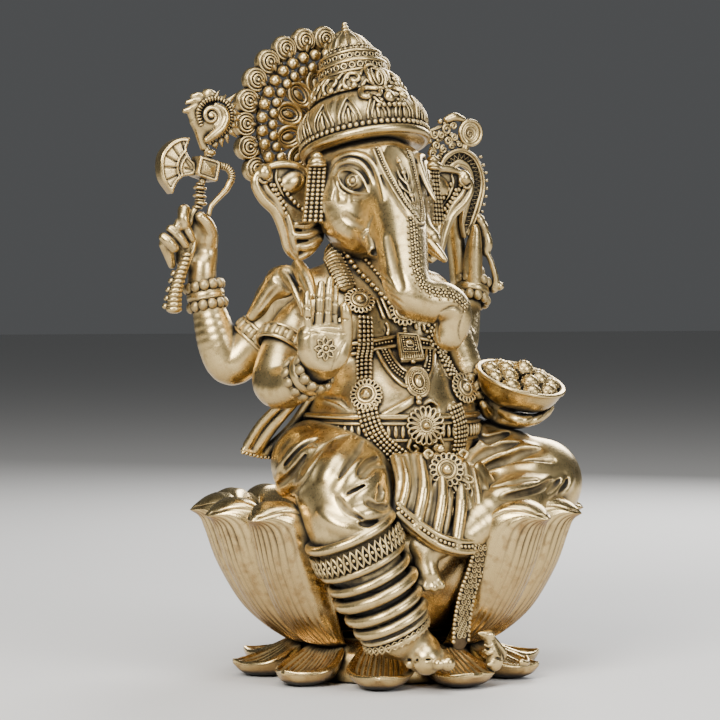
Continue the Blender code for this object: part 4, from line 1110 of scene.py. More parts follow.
# ---- head, ears and trunk ----
HEAD = vec(-6.5, 8, 198)
TRUNK = (
    (-7.2, -8, 207, 11.5), (-7.8, -14.5, 199, 11.8), (-9.6, -23, 189, 11.4), (-12.4, -33, 178, 10.6),
    (-16.0, -41.8, 167.5, 9.8), (-18.0, -47.6, 160, 9.3), (-16.4, -51.2, 154.2, 8.9), (-11.6, -53.6, 152.0,
                                                                                       8.4),
    (-5.8, -54.8, 151.6, 8.0), (-1.6, -55.0, 148.6, 7.6), (-0.8, -54.6, 143.0, 6.9), (-2.2, -53.8, 138.4,
                                                                                      5.9),
)


def mirrored(points):
    """The same places on the other side of the face."""
    points = np.array(points, dtype=np.float64)
    points[..., 0] = 2 * HEAD[0] - points[..., 0]
    return points


def both(points):
    return (np.asarray(points, dtype=np.float64), mirrored(points))


def sculpt_head():
    clay = Clay()
    clay.add(Egg((-6.5, 9, 201), (25, 24, 22)))
    clay.add(Egg((-6.5, 3, 187), (20, 18.5, 17)), 10)
    for brow in both([(-17.5, -6.5, 206, 8.5), (-15.5, -11.5, 200, 8.5), (-13.5, -15, 192, 8)]):
        clay.add(Limb(brow), 6)
    for cheek in both([(-21.5, -1.5, 190.5, 10.5), (-20.5, -5, 184, 9), (-18.5, -9.5, 178.5, 7)]):
        clay.add(Limb(cheek), 8)
    for socket in both([(-16.5, -13, 184.5, 6), (-19, -19, 179.5, 5), (-20.3, -22.5, 177.4, 4.3)]):
        clay.add(Limb(socket), 5)
    clay.add(Limb(TRUNK, 5), 5)
    clay.add(Limb([(-6.5, 5, 177, 13), (-6.5, 8, 168, 12)]), 6)
    clay.freeze()
    sculpt_eyes(clay)
    sculpt_tilak(clay)
    sculpt_trunk_folds(clay)
    return clay


def twin(clay, spots, radius, blend=0.8, lift=0.0, cut=False, taper=0.25):
    """The same stroke on both sides of the face."""
    path = clay.seen(even_path(smooth_path(spots, 8), 0.9), lift)
    for side in both(path):
        (clay.cut if cut else clay.add)(drawn(side, radius, taper), blend)


IRIS_RADIUS = 2.15
IRIS_WIRE = 0.42


def sculpt_eyes(clay):
    eye = clay.seen(((-2.6, 73.6),))[0]
    out = clay.normal([eye])[0]
    for centre, normal in ((eye, out), (mirrored(eye), out * (-1, 1, 1))):
        axes = axes_along(normal)
        clay.cut(Egg(centre, (6.6, 4.6, 2.2), axes), 2.0)
        clay.add(Egg(centre - normal * 1.9, (4.9, 3.9, 2.9), axes), 0.3)
    twin(clay, ((-9.6, 75.6), (-7.7, 78.0), (-4.3, 78.3), (-1.0, 76.7), (1.8, 73.3), (3.4, 68.9)), 0.85,
         0.5, 0.1)
    twin(clay, ((-9.1, 75.3), (-7.3, 71.6), (-4.0, 69.3), (-0.3, 68.5), (3.4, 68.9)), 0.75, 0.5, 0.1)
    twin(clay, ((-11.6, 77.0), (-9.1, 80.4), (-4.7, 81.9), (-0.3, 80.9), (3.1, 77.5), (5.3, 72.6)), 1.25,
         0.9, -0.1)
    twin(clay, ((-10.8, 75.6), (-8.4, 79.1), (-4.3, 80.1), (-0.5, 78.8), (2.5, 75.5), (4.3, 70.9)), 0.5,
         0.3, 0.1, True)
    twin(clay, ((-12.2, 80.4), (-9.1, 83.4), (-4.0, 84.6), (1.5, 83.5), (5.5, 79.9), (8.1, 73.9),
                (9.8, 65.9)), 1.5, 1.2, -0.2)
    twin(clay, ((-11.8, 78.6), (-9.1, 81.9), (-4.3, 83.4), (0.8, 82.2), (4.3, 78.6), (6.7, 72.8)), 0.55,
         0.3, 0.1, True)
    twin(clay, ((-11.3, 74.7), (-9.8, 70.3), (-5.9, 67.0), (-0.9, 66.0), (3.3, 66.8)), 0.5, 0.5, 0.1, True,
         0.1)
    twin(clay, ((-13.3, 82.4), (-9.1, 85.1), (-3.4, 86.5), (2.9, 85.1), (7.6, 81.0)), 0.5, 0.4, 0.1, True,
         0.1)
    turns = np.linspace(0, 2 * np.pi, 25)[:-1]
    for side in both(circle(eye + out, axes_along(out), turns, IRIS_RADIUS, IRIS_RADIUS)):
        clay.add(drawn(side, IRIS_WIRE, 1.0, closed=True), 0.2)
    for centre in both(eye + out * 0.9):
        clay.add(Egg(centre, (1.15, 1.15, 1.15)), 0.1)


TILAK = ((7.6, 213.5), (7.4, 208), (6.8, 202), (6.0, 196), (4.8, 190.5), (2.8, 186), (0.6, 183.2))


def tilak_line(clay, inset, lift):
    """The panel's border down one side, over its point and up the other."""
    side = [(HEAD[0] - max(half - inset, 0.0) - 1.4 * drop(height), height + inset * 0.5) for half,
            height in TILAK]
    other = [(HEAD[0] + max(half - inset, 0.0) - 1.4 * drop(height), height + inset * 0.5) for half,
             height in TILAK]
    return clay.front(even_path(smooth_path(side + other[::-1], 6), 0.9), lift)


def drop(height):
    """How far down the panel a height is, from 0 at the brow to 1 at the point."""
    return (213.5 - height) / 30.0


def sculpt_tilak(clay):
    middle = clay.front([(HEAD[0] - 1.4 * drop(z), z) for z in (212, 205, 198, 192)], 0.25)
    radii = (6.4, 5.9, 5.0, 3.6)
    clay.cut(Limb(np.column_stack((middle, radii)), 4, flat=0.28, flat_axis=(0, -1, 0.45)), 0.3)
    clay.add(drawn(tilak_line(clay, -1.0, 0.1), 0.72, 1.0), 0.3)
    clay.add(drawn(tilak_line(clay, 1.5, -0.1), 0.4, 1.0), 0.2)
    clay.cut(drawn(tilak_line(clay, -2.4, 0.1), 0.5, 1.0), 0.2)
    centre = HEAD[0]
    for side in (-1, 1):
        for leaf in (((0.4, 199), (2.4, 202.5), (2.0, 206.5)), ((0.4, 195), (3.0, 197.5), (3.6, 201)),
                     ((0.3, 190.5), (2.2, 192.5), (2.9, 196)), ((0.2, 187), (1.4, 189), (1.7, 191.5))):
            spots = [(centre + side * x - 1.4 * drop(z), z) for x, z in leaf]
            path = clay.front(even_path(smooth_path(spots, 6), 0.7), -0.45)
            clay.add(drawn(path, 0.62, 0.4), 0.1)
    stem = clay.front(even_path([(centre - 1.4 * drop(z), z) for z in (211, 205, 198, 192, 186)], 0.9),
                      -0.4)
    clay.add(drawn(stem, 0.6, 0.6), 0.2)


def sculpt_trunk_folds(clay):
    """Creases under the trunk, the line beside its root and the lip at its tip."""
    twin(clay, ((5.2, 59.0), (3.4, 55.2), (2.6, 50.8), (4.2, 46.4)), 0.6, 1.2, 0.0, True, 0.1)
    twin(clay, ((-5.9, 59.0), (-2.8, 56.5), (1.0, 53.9), (2.6, 50.8)), 0.4, 2.5, 0.0, True, 0.1)
    clay.groove(((11.1, 50.2), (12.6, 43.9), (14.2, 37.6), (16.7, 30.0)), 0.9, 3.0)
    clay.groove(((32.5, 19.3), (35.0, 20.6), (38.8, 21.9), (42.7, 19.3)), 0.75, 0.5)
    clay.groove(((42.7, 19.3), (41.3, 15.6), (40.6, 11.8), (41.3, 7.4)), 0.6, 0.5)
    clay.groove(((32.5, 18.7), (31.8, 14.9), (31.5, 10.5), (32.5, 7.4)), 0.8, 0.7)
    for low in (((7.6, 36.3), (11.1, 33.8), (14.2, 30.0)), ((8.6, 32.5), (12.0, 30.0), (15.5, 26.9)),
                ((10.4, 28.1), (14.2, 25.6), (18.0, 23.1))):
        clay.groove(low, 0.35, 0.6)


def face_jewels(head):
    """Beads round the brow panel and the flower chain down the trunk."""
    pile = Pile()
    pile.beads(even_path(tilak_line(head, 0.4, 0.25), 1.35), 0.5, 8, 6)
    gem = head.front([(HEAD[0] - 0.6, 203.5), (HEAD[0] - 0.2, 208.5), (HEAD[0] - 1.0, 194)], -0.2)
    pile.beads(gem, 1.1, 10, 7)
    centre = smooth_path(np.array(TRUNK)[3:10, :3], 12)
    radii = smooth_path(np.array(TRUNK)[3:10, 3:], 12)[:, 0]
    tangents = np.gradient(centre, axis=0)
    out = np.cross(tangents, np.cross(vec(0.02, -1, 0.42), tangents))
    out /= np.linalg.norm(out, axis=1, keepdims=True)
    line = even_path(head.snap(centre + out * radii[:, None]), 3.3)
    normals = head.normal(line)
    for i, (spot, normal) in enumerate(zip(line, normals)):
        along = unit(line[min(i + 1, len(line) - 1)] - line[max(i - 1, 0)])
        side = np.cross(along, normal)
        for k in range(6):
            turn = 2 * math.pi * (k + 0.5) / 6
            petal = spot + (side * math.cos(turn) + along * math.sin(turn)) * 1.35
            pile.egg(petal + normal * 0.15, 0.62, None, 7, 5)
        pile.egg(spot + normal * 0.35, 0.7, None, 8, 5)
        for sign in (-1, 1):
            pile.egg(spot + side * sign * 2.5 + along * 1.6 + normal * 0.1, 0.5, None, 6, 4)
    pile.done("face_jewels", BEAD_BRASS)


TUSK_COLLAR = 3.5


def build_tusks():
    for name, stations in (
            ("tusk_right", ((-19, -18, 181.5, 3.6), (-21, -24.5, 176.5, 3.1), (-22, -28.2, 172.6, 2.8))),
            ("tusk_left", ((3.5, -18, 179, 3.6), (5.6, -24, 175.0, 3.0), (7.4, -28.4, 171.4, 2.2),
                           (8.6, -31.4, 168.8, 1.3)))):
        clay = Clay()
        clay.add(Limb(stations))
        foot = np.array(stations[1][:3])
        axis = unit(np.array(stations[1][:3]) - np.array(stations[0][:3]))
        axes = axes_along(axis)
        turns = np.linspace(0, 2 * np.pi, 21)[:-1]
        for along, extra in ((-2.6, 0.9), (-1.2, 0.5)):
            ring = circle(foot + axis * along, axes, turns, TUSK_COLLAR, TUSK_COLLAR)
            clay.add(drawn(ring, extra, 1.0, closed=True), 0.3)
        if name == "tusk_right":
            tip = np.array(stations[-1][:3]) + axis * 2.6
            clay.cut(Egg(tip, (1.6, 1.6, 1.6)), 0.5)
        clay.mesh(name + "_cast", BRASS, 0.35, replaces=(name,))


EAR_PLANE = 10.0


def ear_path(spots, flip, depth=EAR_PLANE):
    points = at_depth(spots, depth)
    return mirrored(points) if flip else points


def build_ear(name, flip):
    """Broad ear with rolled rims, a shell-like bulb, bead rows and folded lobes below."""
    clay = Clay()
    outline = ear_path(((-43.3, 73.9), (-41.8, 78.5), (-37.4, 80.4), (-30.4, 80.9), (-24.2, 79.0),
                        (-21.6, 74.1), (-21.0, 64.0), (-16.6, 57.7), (-15.0, 52.7), (-16.6, 47.6),
                        (-21.6, 42.3), (-25.9, 40.6), (-29.1, 43.7), (-31.3, 52.7), (-35.1, 61.4),
                        (-40.5, 66.5)), flip)
    centre = outline.mean(axis=0)
    local = (outline - centre)[:, [0, 2]]
    front = np.column_stack(((1, 0, 0), (0, 0, 1), (0, -1, 0)))
    clay.add(Slab(local, centre, front, 4.6, 1.6))
    for spots, radius, depth in (
            (((-37.7, 79.6), (-41.8, 76.9), (-43.0, 72.2), (-39.9, 66.2), (-34.7, 60.9), (-31.6, 53.3),
              (-29.7, 45.8), (-25.9, 41.4)), 2.2, 8.0),
            (((-38.6, 78.8), (-34.5, 80.2), (-29.2, 80.4), (-24.2, 78.7), (-22.3, 76.0)), 1.7, 7.0),
            (((-34.2, 77.8), (-34.7, 74.7), (-32.8, 69.7), (-28.6, 65.3), (-24.2, 62.7)), 0.9, 7.2),
            (((-25.9, 41.4), (-21.6, 43.9), (-16.6, 48.9)), 1.7, 8.0), (((-27.3, 55.5), (-22.3, 55.2),
                                                                         (-16.9, 57.6)), 1.9, 7.0),
            (((-28.2, 51.3), (-22.3, 51.3), (-16.0, 53.9)), 2.1, 7.2), (((-25.9, 46.4), (-21.0, 47.0),
                                                                         (-15.9, 50.4)), 2.3, 7.2),
            (((-30.4, 60.9), (-28.6, 55.2), (-27.6, 48.9), (-25.9, 43.9)), 1.6, 7.4),
                                 (((-40.5, 74.7), (-38.0, 69.7), (-34.2, 65.3), (-31.1, 59.0)), 1.3, 7.0)):
        path = ear_path(even_path(smooth_path(spots, 8), 1.2), flip, depth)
        clay.add(drawn(path, radius, 0.5), 0.7)
    bulb = ear_path(((-28.2, 73.1),), flip, 8.0)[0]
    clay.add(Egg(bulb, (6.2, 3.6, 4.6), turn_matrix(y=-25 if not flip else 25)), 0.4)
    knot = ear_path(((-39.3, 76.9),), flip, 7.0)[0]
    clay.add(Egg(knot, (3.0, 3.0, 3.4)), 0.8)
    for spots in (((-30.4, 75.3), (-32.3, 71.6), (-30.4, 66.5), (-25.4, 62.7), (-22.3, 62.1)),
                  ((-27.3, 53.3), (-22.3, 53.2), (-16.6, 55.7)), ((-27.3, 48.8), (-21.6, 49.2),
                                                                  (-16.0, 52.2))):
        path = ear_path(even_path(smooth_path(spots, 8), 1.2), flip, 7.4)
        clay.cut(drawn(path, 0.8, 0.3), 0.4)
    clay.mesh(name + "_cast", BRASS, 0.42, replaces=(name,))
    pile = Pile()
    for spots in (((-37.4, 73.9), (-35.4, 69.0), (-32.8, 64.6), (-30.4, 60.2)), ((-33.1, 73.9),
                                                                                 (-30.4, 69.0),
                                                                                 (-27.3, 65.3),
                                                                                 (-23.5, 62.0)),
                  ((-35.4, 71.6), (-33.2, 67.0), (-30.4, 63.4))):
        path = ear_path(even_path(smooth_path(spots, 8), 2.1), flip, 6.6)
        pile.beads(path, 1.0, 9, 6)
    for spots in (((-39.9, 78.5), (-37.4, 77.8), (-36.4, 75.3), (-38.0, 73.9)), ((-41.3, 74.1),
                                                                                 (-39.9, 72.8),
                                                                                 (-38.3, 73.1))):
        pile.tube(ear_path(even_path(smooth_path(spots, 8), 0.8), flip, 5.8), 0.7, 7)
    pile.done(name + "_beads", BEAD_BRASS)


def build_tassel(name, flip):
    """Four columns of beads hanging under a ribbed cap."""
    pile = Pile()
    top = vec(-33.4, -1.2, 205.6)
    foot = vec(-35.4, -1.4, 184.6)
    across = unit((0.9, -0.42, 0.0))
    if flip:
        top, foot, across = mirrored(top), mirrored(foot), across * (-1, 1, 1)
    rows = 13
    out = np.cross(across, unit(foot - top)) * (1 if flip else -1)
    for i in range(rows):
        middle = top + (foot - top) * i / (rows - 1)
        spread = 1.85 + 0.35 * i / rows
        for j in (-1.5, -0.5, 0.5, 1.5):
            pile.egg(middle + across * j * spread + out * 0.4, (0.98, 0.98, 0.92), None, 9, 6)
    for j in np.linspace(-1.6, 1.6, 5):
        line = [top + across * j * 1.9, (top + foot) / 2 + across * j * 2.0, foot + across * j * 2.25]
        pile.tube(np.array(line) - out * 0.5, 0.8, 6)
    pile.egg(top + vec(0, 0, 2.6), (3.9, 3.4, 2.2), None, 16, 8)
    pile.egg(top + vec(0, 0, 5.0), (2.7, 2.4, 1.8), None, 14, 8)
    pile.ring(top + vec(0, 0, 1.4), UP, 3.4, 0.7, 7, 22)
    pile.done(name + "_cast", BEAD_BRASS, (name,))


head = sculpt_head()
head.mesh("head_cast", BRASS, 0.5, replaces=("head", "trunk"))
face_jewels(head)
build_tusks()
for ear_name, tassel_name, flipped in (("ear_right", "tassel_right", False), ("ear_left", "tassel_left",
                                                                              True)):
    build_ear(ear_name, flipped)
    build_tassel(tassel_name, flipped)


# ---- crown and halo ----
CROWN_BASE = vec(-6, 8, 214)
CROWN_TIP = vec(-9, 22, 268)
CROWN_AXIS = unit(CROWN_TIP - CROWN_BASE)
CROWN_RIGHT = unit(np.cross(FRONT, CROWN_AXIS)) * -1
CROWN_FRONT = np.cross(CROWN_RIGHT, CROWN_AXIS)
CROWN_SHAPE = smooth_path(((0, 24.5), (4, 25.2), (8, 26.6), (12, 26.2), (16, 24.0), (19, 21.2), (21, 18.6),
                           (23, 18.8), (26, 18.0), (29, 16.0), (31, 13.9), (35, 13.9), (36, 12.8),
                           (39.5, 12.4),
                           (41, 10.6), (42, 9.5), (45, 8.8), (48, 6.8), (50.5, 3.6), (52, 1.8)), 6)


def crown_spot(degrees, height, lift=0.0):
    """A point on the crown, by angle from the front and height along its axis."""
    radius = np.interp(height, CROWN_SHAPE[:, 0], CROWN_SHAPE[:, 1]) + lift
    angle = np.radians(degrees)
    out = np.multiply.outer(np.cos(angle), CROWN_FRONT) + np.multiply.outer(np.sin(angle), CROWN_RIGHT)
    return CROWN_BASE + CROWN_AXIS * np.asarray(height)[..., None] + out * np.asarray(radius)[..., None]


def crown_out(degrees):
    angle = math.radians(degrees)
    return CROWN_FRONT * math.cos(angle) + CROWN_RIGHT * math.sin(angle)


def crown_wire(pile, degrees, spots, radius, lift=0.3, sides=7):
    """A wire on the crown through (mm aside, height) spots round an angle."""
    spots = smooth_path(spots, 5)
    around = np.interp(spots[:, 1], CROWN_SHAPE[:, 0], CROWN_SHAPE[:, 1])
    angles = degrees + np.degrees(spots[:, 0] / np.maximum(around, 4.0))
    pile.tube(crown_spot(angles, spots[:, 1], lift), radius, sides)


def crown_ring(pile, height, radius, lift=0.0, count=96):
    turns = np.arange(count) * 360 / count
    pile.tube(crown_spot(turns, np.full(count, float(height)), lift), radius, 10, closed=True)


def crown_beads(pile, height, radius, count, lift=0.0):
    turns = np.arange(count) * 360 / count
    pile.beads(crown_spot(turns, np.full(count, float(height)), lift), radius, 10, 7)


def crown_shell(low, high, flutes, depth, count=160, step=0.5):
    """The turned body between two heights, with upright grooves."""
    heights = np.arange(low, high + 1e-6, step)
    rows = [(0.1, low)] + [(np.interp(h, CROWN_SHAPE[:, 0], CROWN_SHAPE[:, 1]),
                            h) for h in heights] + [(0.1, high)]

    def ripple(turns, height):
        if not low < height < high:
            return 0.0 * turns
        fade = min(1.0, (height - low) / 2.5, (high - height) / 2.5)
        return -depth * fade * (0.5 + 0.5 * np.cos(turns * flutes)) ** 8
    return revolve(rows, count, CROWN_BASE, CROWN_AXIS, ripple)


def build_crown_band():
    pile = Pile()
    pile.put(*revolve(((0.1, 0.0), (24.4, 0.0), (25.4, 2.2), (25.6, 4.4), (0.1, 4.4)), 96, CROWN_BASE,
                      CROWN_AXIS))
    crown_ring(pile, 1.7, 1.9, 0.7)
    crown_beads(pile, 4.6, 1.15, 64, 0.9)
    pile.done("crown_band_cast", BEAD_BRASS, ("crown_band",))


def build_crown_dome():
    make_piece("crown_dome_cast", *crown_shell(4.6, 21.4, 28, 0.7), BRASS, ("crown_dome",))
    pile = Pile()
    leaves = 14
    for i in range(leaves):
        angle = 360 * (i + 0.5) / leaves
        crown_wire(pile, angle, ((-4.4, 6.4), (-4.3, 9), (-2.6, 13), (0, 17.0), (2.6, 13), (4.3, 9),
                                 (4.4, 6.4)), 0.62)
        crown_wire(pile, angle, ((-2.7, 6.6), (-2.6, 8.6), (-1.5, 11.2), (0, 13.8), (1.5, 11.2), (2.6, 8.6),
                                 (2.7, 6.6)),
                   0.5)
        crown_wire(pile, angle, ((0, 6.6), (0, 9), (0, 11.5)), 0.7, 0.2)
    crown_front(pile)
    pile.done("crown_leaves", BEAD_BRASS)


def crown_front(pile):
    """Front ornament: an upright leaf loop over two scrolls and a gem with small beads."""
    for side in (-1, 1):
        crown_wire(pile, 0, ((side * 1.6, 19.6), (side * 5.4, 20.6), (side * 8.6, 19.4), (side * 9.8, 16.8),
                             (side * 8.2, 15.4), (side * 7.0, 16.6)), 1.25, 1.1, 9)
        crown_wire(pile, 0, ((side * 1.2, 18.6), (side * 2.6, 16.4), (side * 4.4, 15.6)), 0.9, 1.0)
        crown_wire(pile, 0, ((side * 3.6, 11.4), (side * 5.2, 12.8), (side * 6.0, 15.0)), 0.7, 0.9)
    for wide, tall, wire, lift in ((3.3, 6.2, 0.95, 1.6), (1.9, 4.2, 0.5, 1.9)):
        turns = np.linspace(0, 2 * np.pi, 25)
        spots = [(wide * math.sin(a), 25.8 + tall * math.cos(a)) for a in turns]
        crown_wire(pile, 0, spots, wire, lift, 8)
    axes = axes_along(CROWN_FRONT, CROWN_AXIS)
    pile.egg(crown_spot(0.0, 25.0, 1.8), (1.0, 3.0, 1.0), axes, 12, 8)
    pile.egg(crown_spot(0.0, 14.4, 1.6), (2.4, 2.7, 1.9), axes, 16, 10)
    pile.beads([crown_spot(a, 11.0, 1.0) for a in (-12, -7.2, -2.4, 2.4, 7.2, 12)], 1.05)
    pile.beads([crown_spot(a, h, 1.0) for a in (-8, 8) for h in (13.2, 15.6)], 0.85)


def build_crown_spire():
    """Scrolled leaf ring, two pierced bands, a bead ring, the fluted cap and the finial."""
    pile = Pile()
    pile.put(*crown_shell(21.5, 40.8, 24, 0.25))
    pile.put(*crown_shell(40.6, 51.6, 11, 1.3, 132, 0.35))
    leaves = 12
    for i in range(leaves):
        angle = 360 * i / leaves
        if i:
            crown_wire(pile, angle, ((-3.6, 22.4), (-3.9, 25.5), (-1.4, 28.6), (1.6, 28.0), (2.4, 25.6),
                                     (0.6, 24.4),
                                     (-0.6, 25.6)), 0.95, 0.7)
            pile.egg(crown_spot(float(angle), 22.8, 0.9), (1.6, 1.5, 1.2), axes_along(crown_out(angle),
                                                                                      CROWN_AXIS))
        crown_wire(pile, angle + 15, ((-1.8, 22.0), (0.2, 24.2), (2.2, 22.2)), 0.85, 0.8)
        crown_wire(pile, angle + 15, ((-1.4, 27.4), (0.4, 29.6), (2.6, 28.6), (2.4, 26.6)), 0.75, 0.6)
    for height, count, hole in ((33.1, 26, 1.15), (37.6, 25, 0.95)):
        for i in range(count):
            angle = 360 * i / count
            pile.ring(crown_spot(float(angle), height, 0.25), crown_out(angle), hole, 0.42, 6, 12)
    for height, radius, lift in ((30.9, 0.85, 0.2), (35.2, 0.75, 0.2), (35.9, 0.55, 0.6), (39.7, 0.75, 0.2),
                                 (22.0, 0.6, 0.4)):
        crown_ring(pile, height, radius, lift, 72)
    crown_beads(pile, 41.0, 0.95, 30, 0.3)
    crown_beads(pile, 43.0, 0.6, 34, 0.2)
    for height, radii in ((52.0, (2.0, 2.0, 1.2)), (53.6, (1.5, 1.5, 1.1)), (55.0, (1.0, 1.0, 1.1))):
        pile.egg(CROWN_BASE + CROWN_AXIS * height, radii, axes_along(CROWN_AXIS, FRONT), 14, 8)
    pile.done("crown_spire_cast", BEAD_BRASS, ("crown_spire",))


HALO_CENTRE = vec(-10.5, 38, 225.5)
HALO_RADIUS = 42.6
HALO_LOBES = 24
HALO_BALLS = 34


def halo_spot(degrees, radius, lift=0.0):
    """A point on the halo; lift is towards the front."""
    angle = math.radians(degrees)
    return HALO_CENTRE + vec(radius * math.sin(angle), -lift, radius * math.cos(angle))


def halo_axes(degrees):
    """Columns: along the rim, outwards and to the front."""
    angle = math.radians(degrees)
    return np.column_stack((vec(math.cos(angle), 0, -math.sin(angle)), vec(math.sin(angle), 0,
                                                                           math.cos(angle)), FRONT))


def halo_lobe(pile, degrees):
    """One feather eye: a swollen lobe with three open rings and a pearl."""
    axes = halo_axes(degrees)
    centre = halo_spot(degrees, HALO_RADIUS - 5.6)
    pile.egg(centre, (5.25, 5.6, 3.3), axes, 22, 14)
    for reach, wire, lift, arc in ((4.4, 0.62, 2.0, 150), (3.05, 0.58, 3.0, 140), (1.8, 0.5, 3.5, 150)):
        turns = np.radians(np.linspace(-arc, arc, 22))
        ring = centre + np.outer(np.sin(turns) * reach, axes[:, 0]) + np.outer(np.cos(turns) * reach,
                                                                               axes[:, 1])
        pile.tube(ring + FRONT * lift, wire, 7)
        if lift < 2.5:
            pile.tube(ring - FRONT * lift, wire, 6)
    pile.egg(centre + FRONT * 3.4 - axes[:, 1] * 0.4, 0.85)
    pile.tube([centre + FRONT * 2.6 - axes[:, 1] * 2.2, centre + FRONT * 1.4 - axes[:, 1] * 5.0,
               centre - axes[:, 1] * 7.6], 1.0, 7)


def build_halo():
    pile = Pile()
    disc = ((0.1, -1.7), (34, -1.7), (37.2, -0.8), (37.2, 0.8), (34, 1.7), (0.1, 1.7))
    pile.put(*revolve(disc, 96, HALO_CENTRE, FRONT))
    for i in range(HALO_LOBES):
        halo_lobe(pile, 360 * i / HALO_LOBES)
    for i in range(HALO_BALLS):
        turn = 360 * i / HALO_BALLS
        pile.egg(halo_spot(turn, 30.2, 3.2), 2.55, None, 16, 10)
        pile.egg(halo_spot(turn + 180 / HALO_BALLS, 25.4, 3.4), 2.3, None, 16, 10)
        pile.egg(halo_spot(turn + 180 / HALO_BALLS, 32.6, -1.4), 1.7, None, 10, 6)
    petals = 12
    for i in range(petals):
        turn = 360 * (i + 0.5) / petals
        axes = halo_axes(turn)
        for wide, tall, wire, lift in ((4.2, 5.6, 0.95, 3.4), (2.7, 4.1, 0.6, 2.9)):
            turns = np.linspace(0, 2 * np.pi, 27)[:-1]
            ring = halo_spot(turn, 18.2, lift) + np.outer(np.sin(turns) * wide, axes[:, 0])
            pile.tube(ring + np.outer(np.cos(turns) * tall, axes[:, 1]), wire, 8, closed=True)
        pile.egg(halo_spot(turn, 18.2, 1.6), (2.0, 3.2, 1.6), axes, 12, 8)
    for i in range(48):
        turn = 360 * i / 48
        pile.tube([halo_spot(turn, 6.0, -1.5), halo_spot(turn, 29.0, -1.5)], 0.6, 5)
    for radius in (6.0, 22.0, 30.0):
        pile.ring(HALO_CENTRE - FRONT * 1.6, FRONT, radius, 0.9, 7, 72)
    pile.done("halo_cast", BEAD_BRASS, ("halo",))


build_crown_band()
build_crown_dome()
build_crown_spire()
build_halo()


# ---- arms, hands and bangles ----
def spine(spots, depths, radii):
    """Limb stations under view spots, each on its own plane y = depth."""
    places = [at_depth([spot], depth)[0] for spot, depth in zip(spots, depths)]
    return np.column_stack((places, np.broadcast_to(radii, (len(places),))))


def sculpt_upper_right():
    """Raised arm behind the figure, its fist closed round the axe shaft and a bead rope."""
    clay = Clay()
    clay.add(Limb([(-35, 12, 153, 12), (-47, 15, 142, 10.2), (-57, 19, 130, 9.4), (-62, 21.5, 127.5, 9.2),
                   (-66, 23.5, 136, 8.6), (-69, 25.5, 148, 6.8), (-71, 27, 158, 5.6), (-71.5, 27.5, 166,
                                                                                       5.2)]))
    clay.add(Limb(spine(((-65.2, 31.3), (-64.6, 37.3), (-63.1, 42.1), (-62.5, 47.0), (-61.6, 50.6)),
                        (27, 27, 27.5, 27.5, 27),
                        (5.0, 4.9, 4.5, 4.0, 3.4))), 2.5)
    clay.add(Limb(spine(((-61.9, 48.8), (-61.5, 52.4), (-63.1, 56.0), (-65.5, 58.7)), (25.5, 24, 23, 22.5),
                        (3.3, 2.9, 2.8, 2.3))), 1.2)
    clay.add(Limb(spine(((-72.4, 40.9), (-71.8, 45.8), (-68.8, 51.8), (-68.2, 56.6)), (29, 29, 29, 29),
                        (3.4, 4.0, 4.6, 3.8))), 3.0)
    clay.add(Limb(spine(((-77.3, 39.1), (-78.5, 43.3), (-80.0, 47.6)), (28, 27.5, 26.5), (1.6, 2.2, 2.6))),
             1.5)
    for spots, radii in ((((-72.3, 61.4), (-72.6, 58.4), (-72.0, 55.4)), (2.6, 2.3, 2.2)),
                         (((-72.0, 55.1), (-70.5, 52.4), (-69.1, 49.7)), (2.2, 2.0, 1.6)),
                         (((-74.9, 56.9), (-75.1, 54.8), (-73.8, 54.1)), (1.2, 1.7, 1.3)),
                         (((-77.8, 53.7), (-74.5, 50.6), (-71.8, 47.1)), (1.9, 2.1, 1.7)),
                         (((-80.8, 50.5), (-78.5, 48.5), (-76.3, 46.1)), (1.9, 2.2, 2.0))):
        clay.add(Limb(spine(spots, (23.5, 22.0, 22.0), radii), 3), 0.35)
    for spots in (((-69.1, 58.4), (-68.2, 54.8), (-66.7, 52.4), (-66.3, 50.0)), ((-66.4, 44.5),
                                                                                 (-65.2, 47.4),
                                                                                 (-62.2, 50.6))):
        clay.cut(Limb(spine(spots, (21.5,) * len(spots), 0.55), 3), 0.8)
    clay.add(Egg((-41, 11, 152), (13, 13, 12)), 5)
    return clay


def sculpt_upper_left():
    """Raised arm on the far side, its hand upright behind the noose's tail."""
    clay = Clay()
    clay.add(Limb([(24, 12, 153, 12), (33, 12, 143, 10), (40.5, 13, 135.5, 8.4), (46, 18, 141, 7.2),
                   (52.5, 25, 151, 5.7), (56, 26.8, 158, 5.2), (57, 27.5, 164, 5.0)]))
    clay.add(Limb(spine(((41.0, 32.9), (40.3, 40.9), (39.2, 49.8), (38.5, 58.7), (38.4, 64.1)), (30, 30, 30,
                                                                                                 29.5, 29),
                        (4.2, 4.2, 4.0, 3.4, 2.6))), 2)
    clay.add(Limb(spine(((46.3, 32.0), (46.3, 39.1), (46.7, 45.4), (47.2, 51.6), (47.2, 54.1)),
                        (24, 23.5, 22.5, 21.5, 21), (4.4, 4.2, 3.6, 2.6, 1.9))), 1.2)
    for spots in (((51.4, 44.5), (52.3, 48.0), (51.7, 51.8)), ((50.7, 51.4), (50.5, 54.3), (49.6, 56.4)),
                  ((49.6, 54.7), (49.1, 57.3), (48.4, 58.7))):
        clay.add(Limb(spine(spots, (24, 23, 23), (2.2, 2.4, 1.8)), 3), 0.4)
    clay.add(Limb(spine(((51.4, 45.4), (54.3, 39.1), (55.7, 32.9), (54.8, 29.3)), (23, 22, 22, 23),
                        (1.3, 1.2, 1.5, 2.0))), 0.6)
    clay.add(Egg(at_depth(((57.3, 30.4),), 22)[0], (1.9, 1.9, 1.9)), 0.6)
    clay.cut(Limb(spine(((43.5, 35.6), (43.2, 42.7), (43.4, 49.8)), (22, 22, 22), 0.7), 3), 0.8)
    return clay


PALM_DEPTH = -38.0


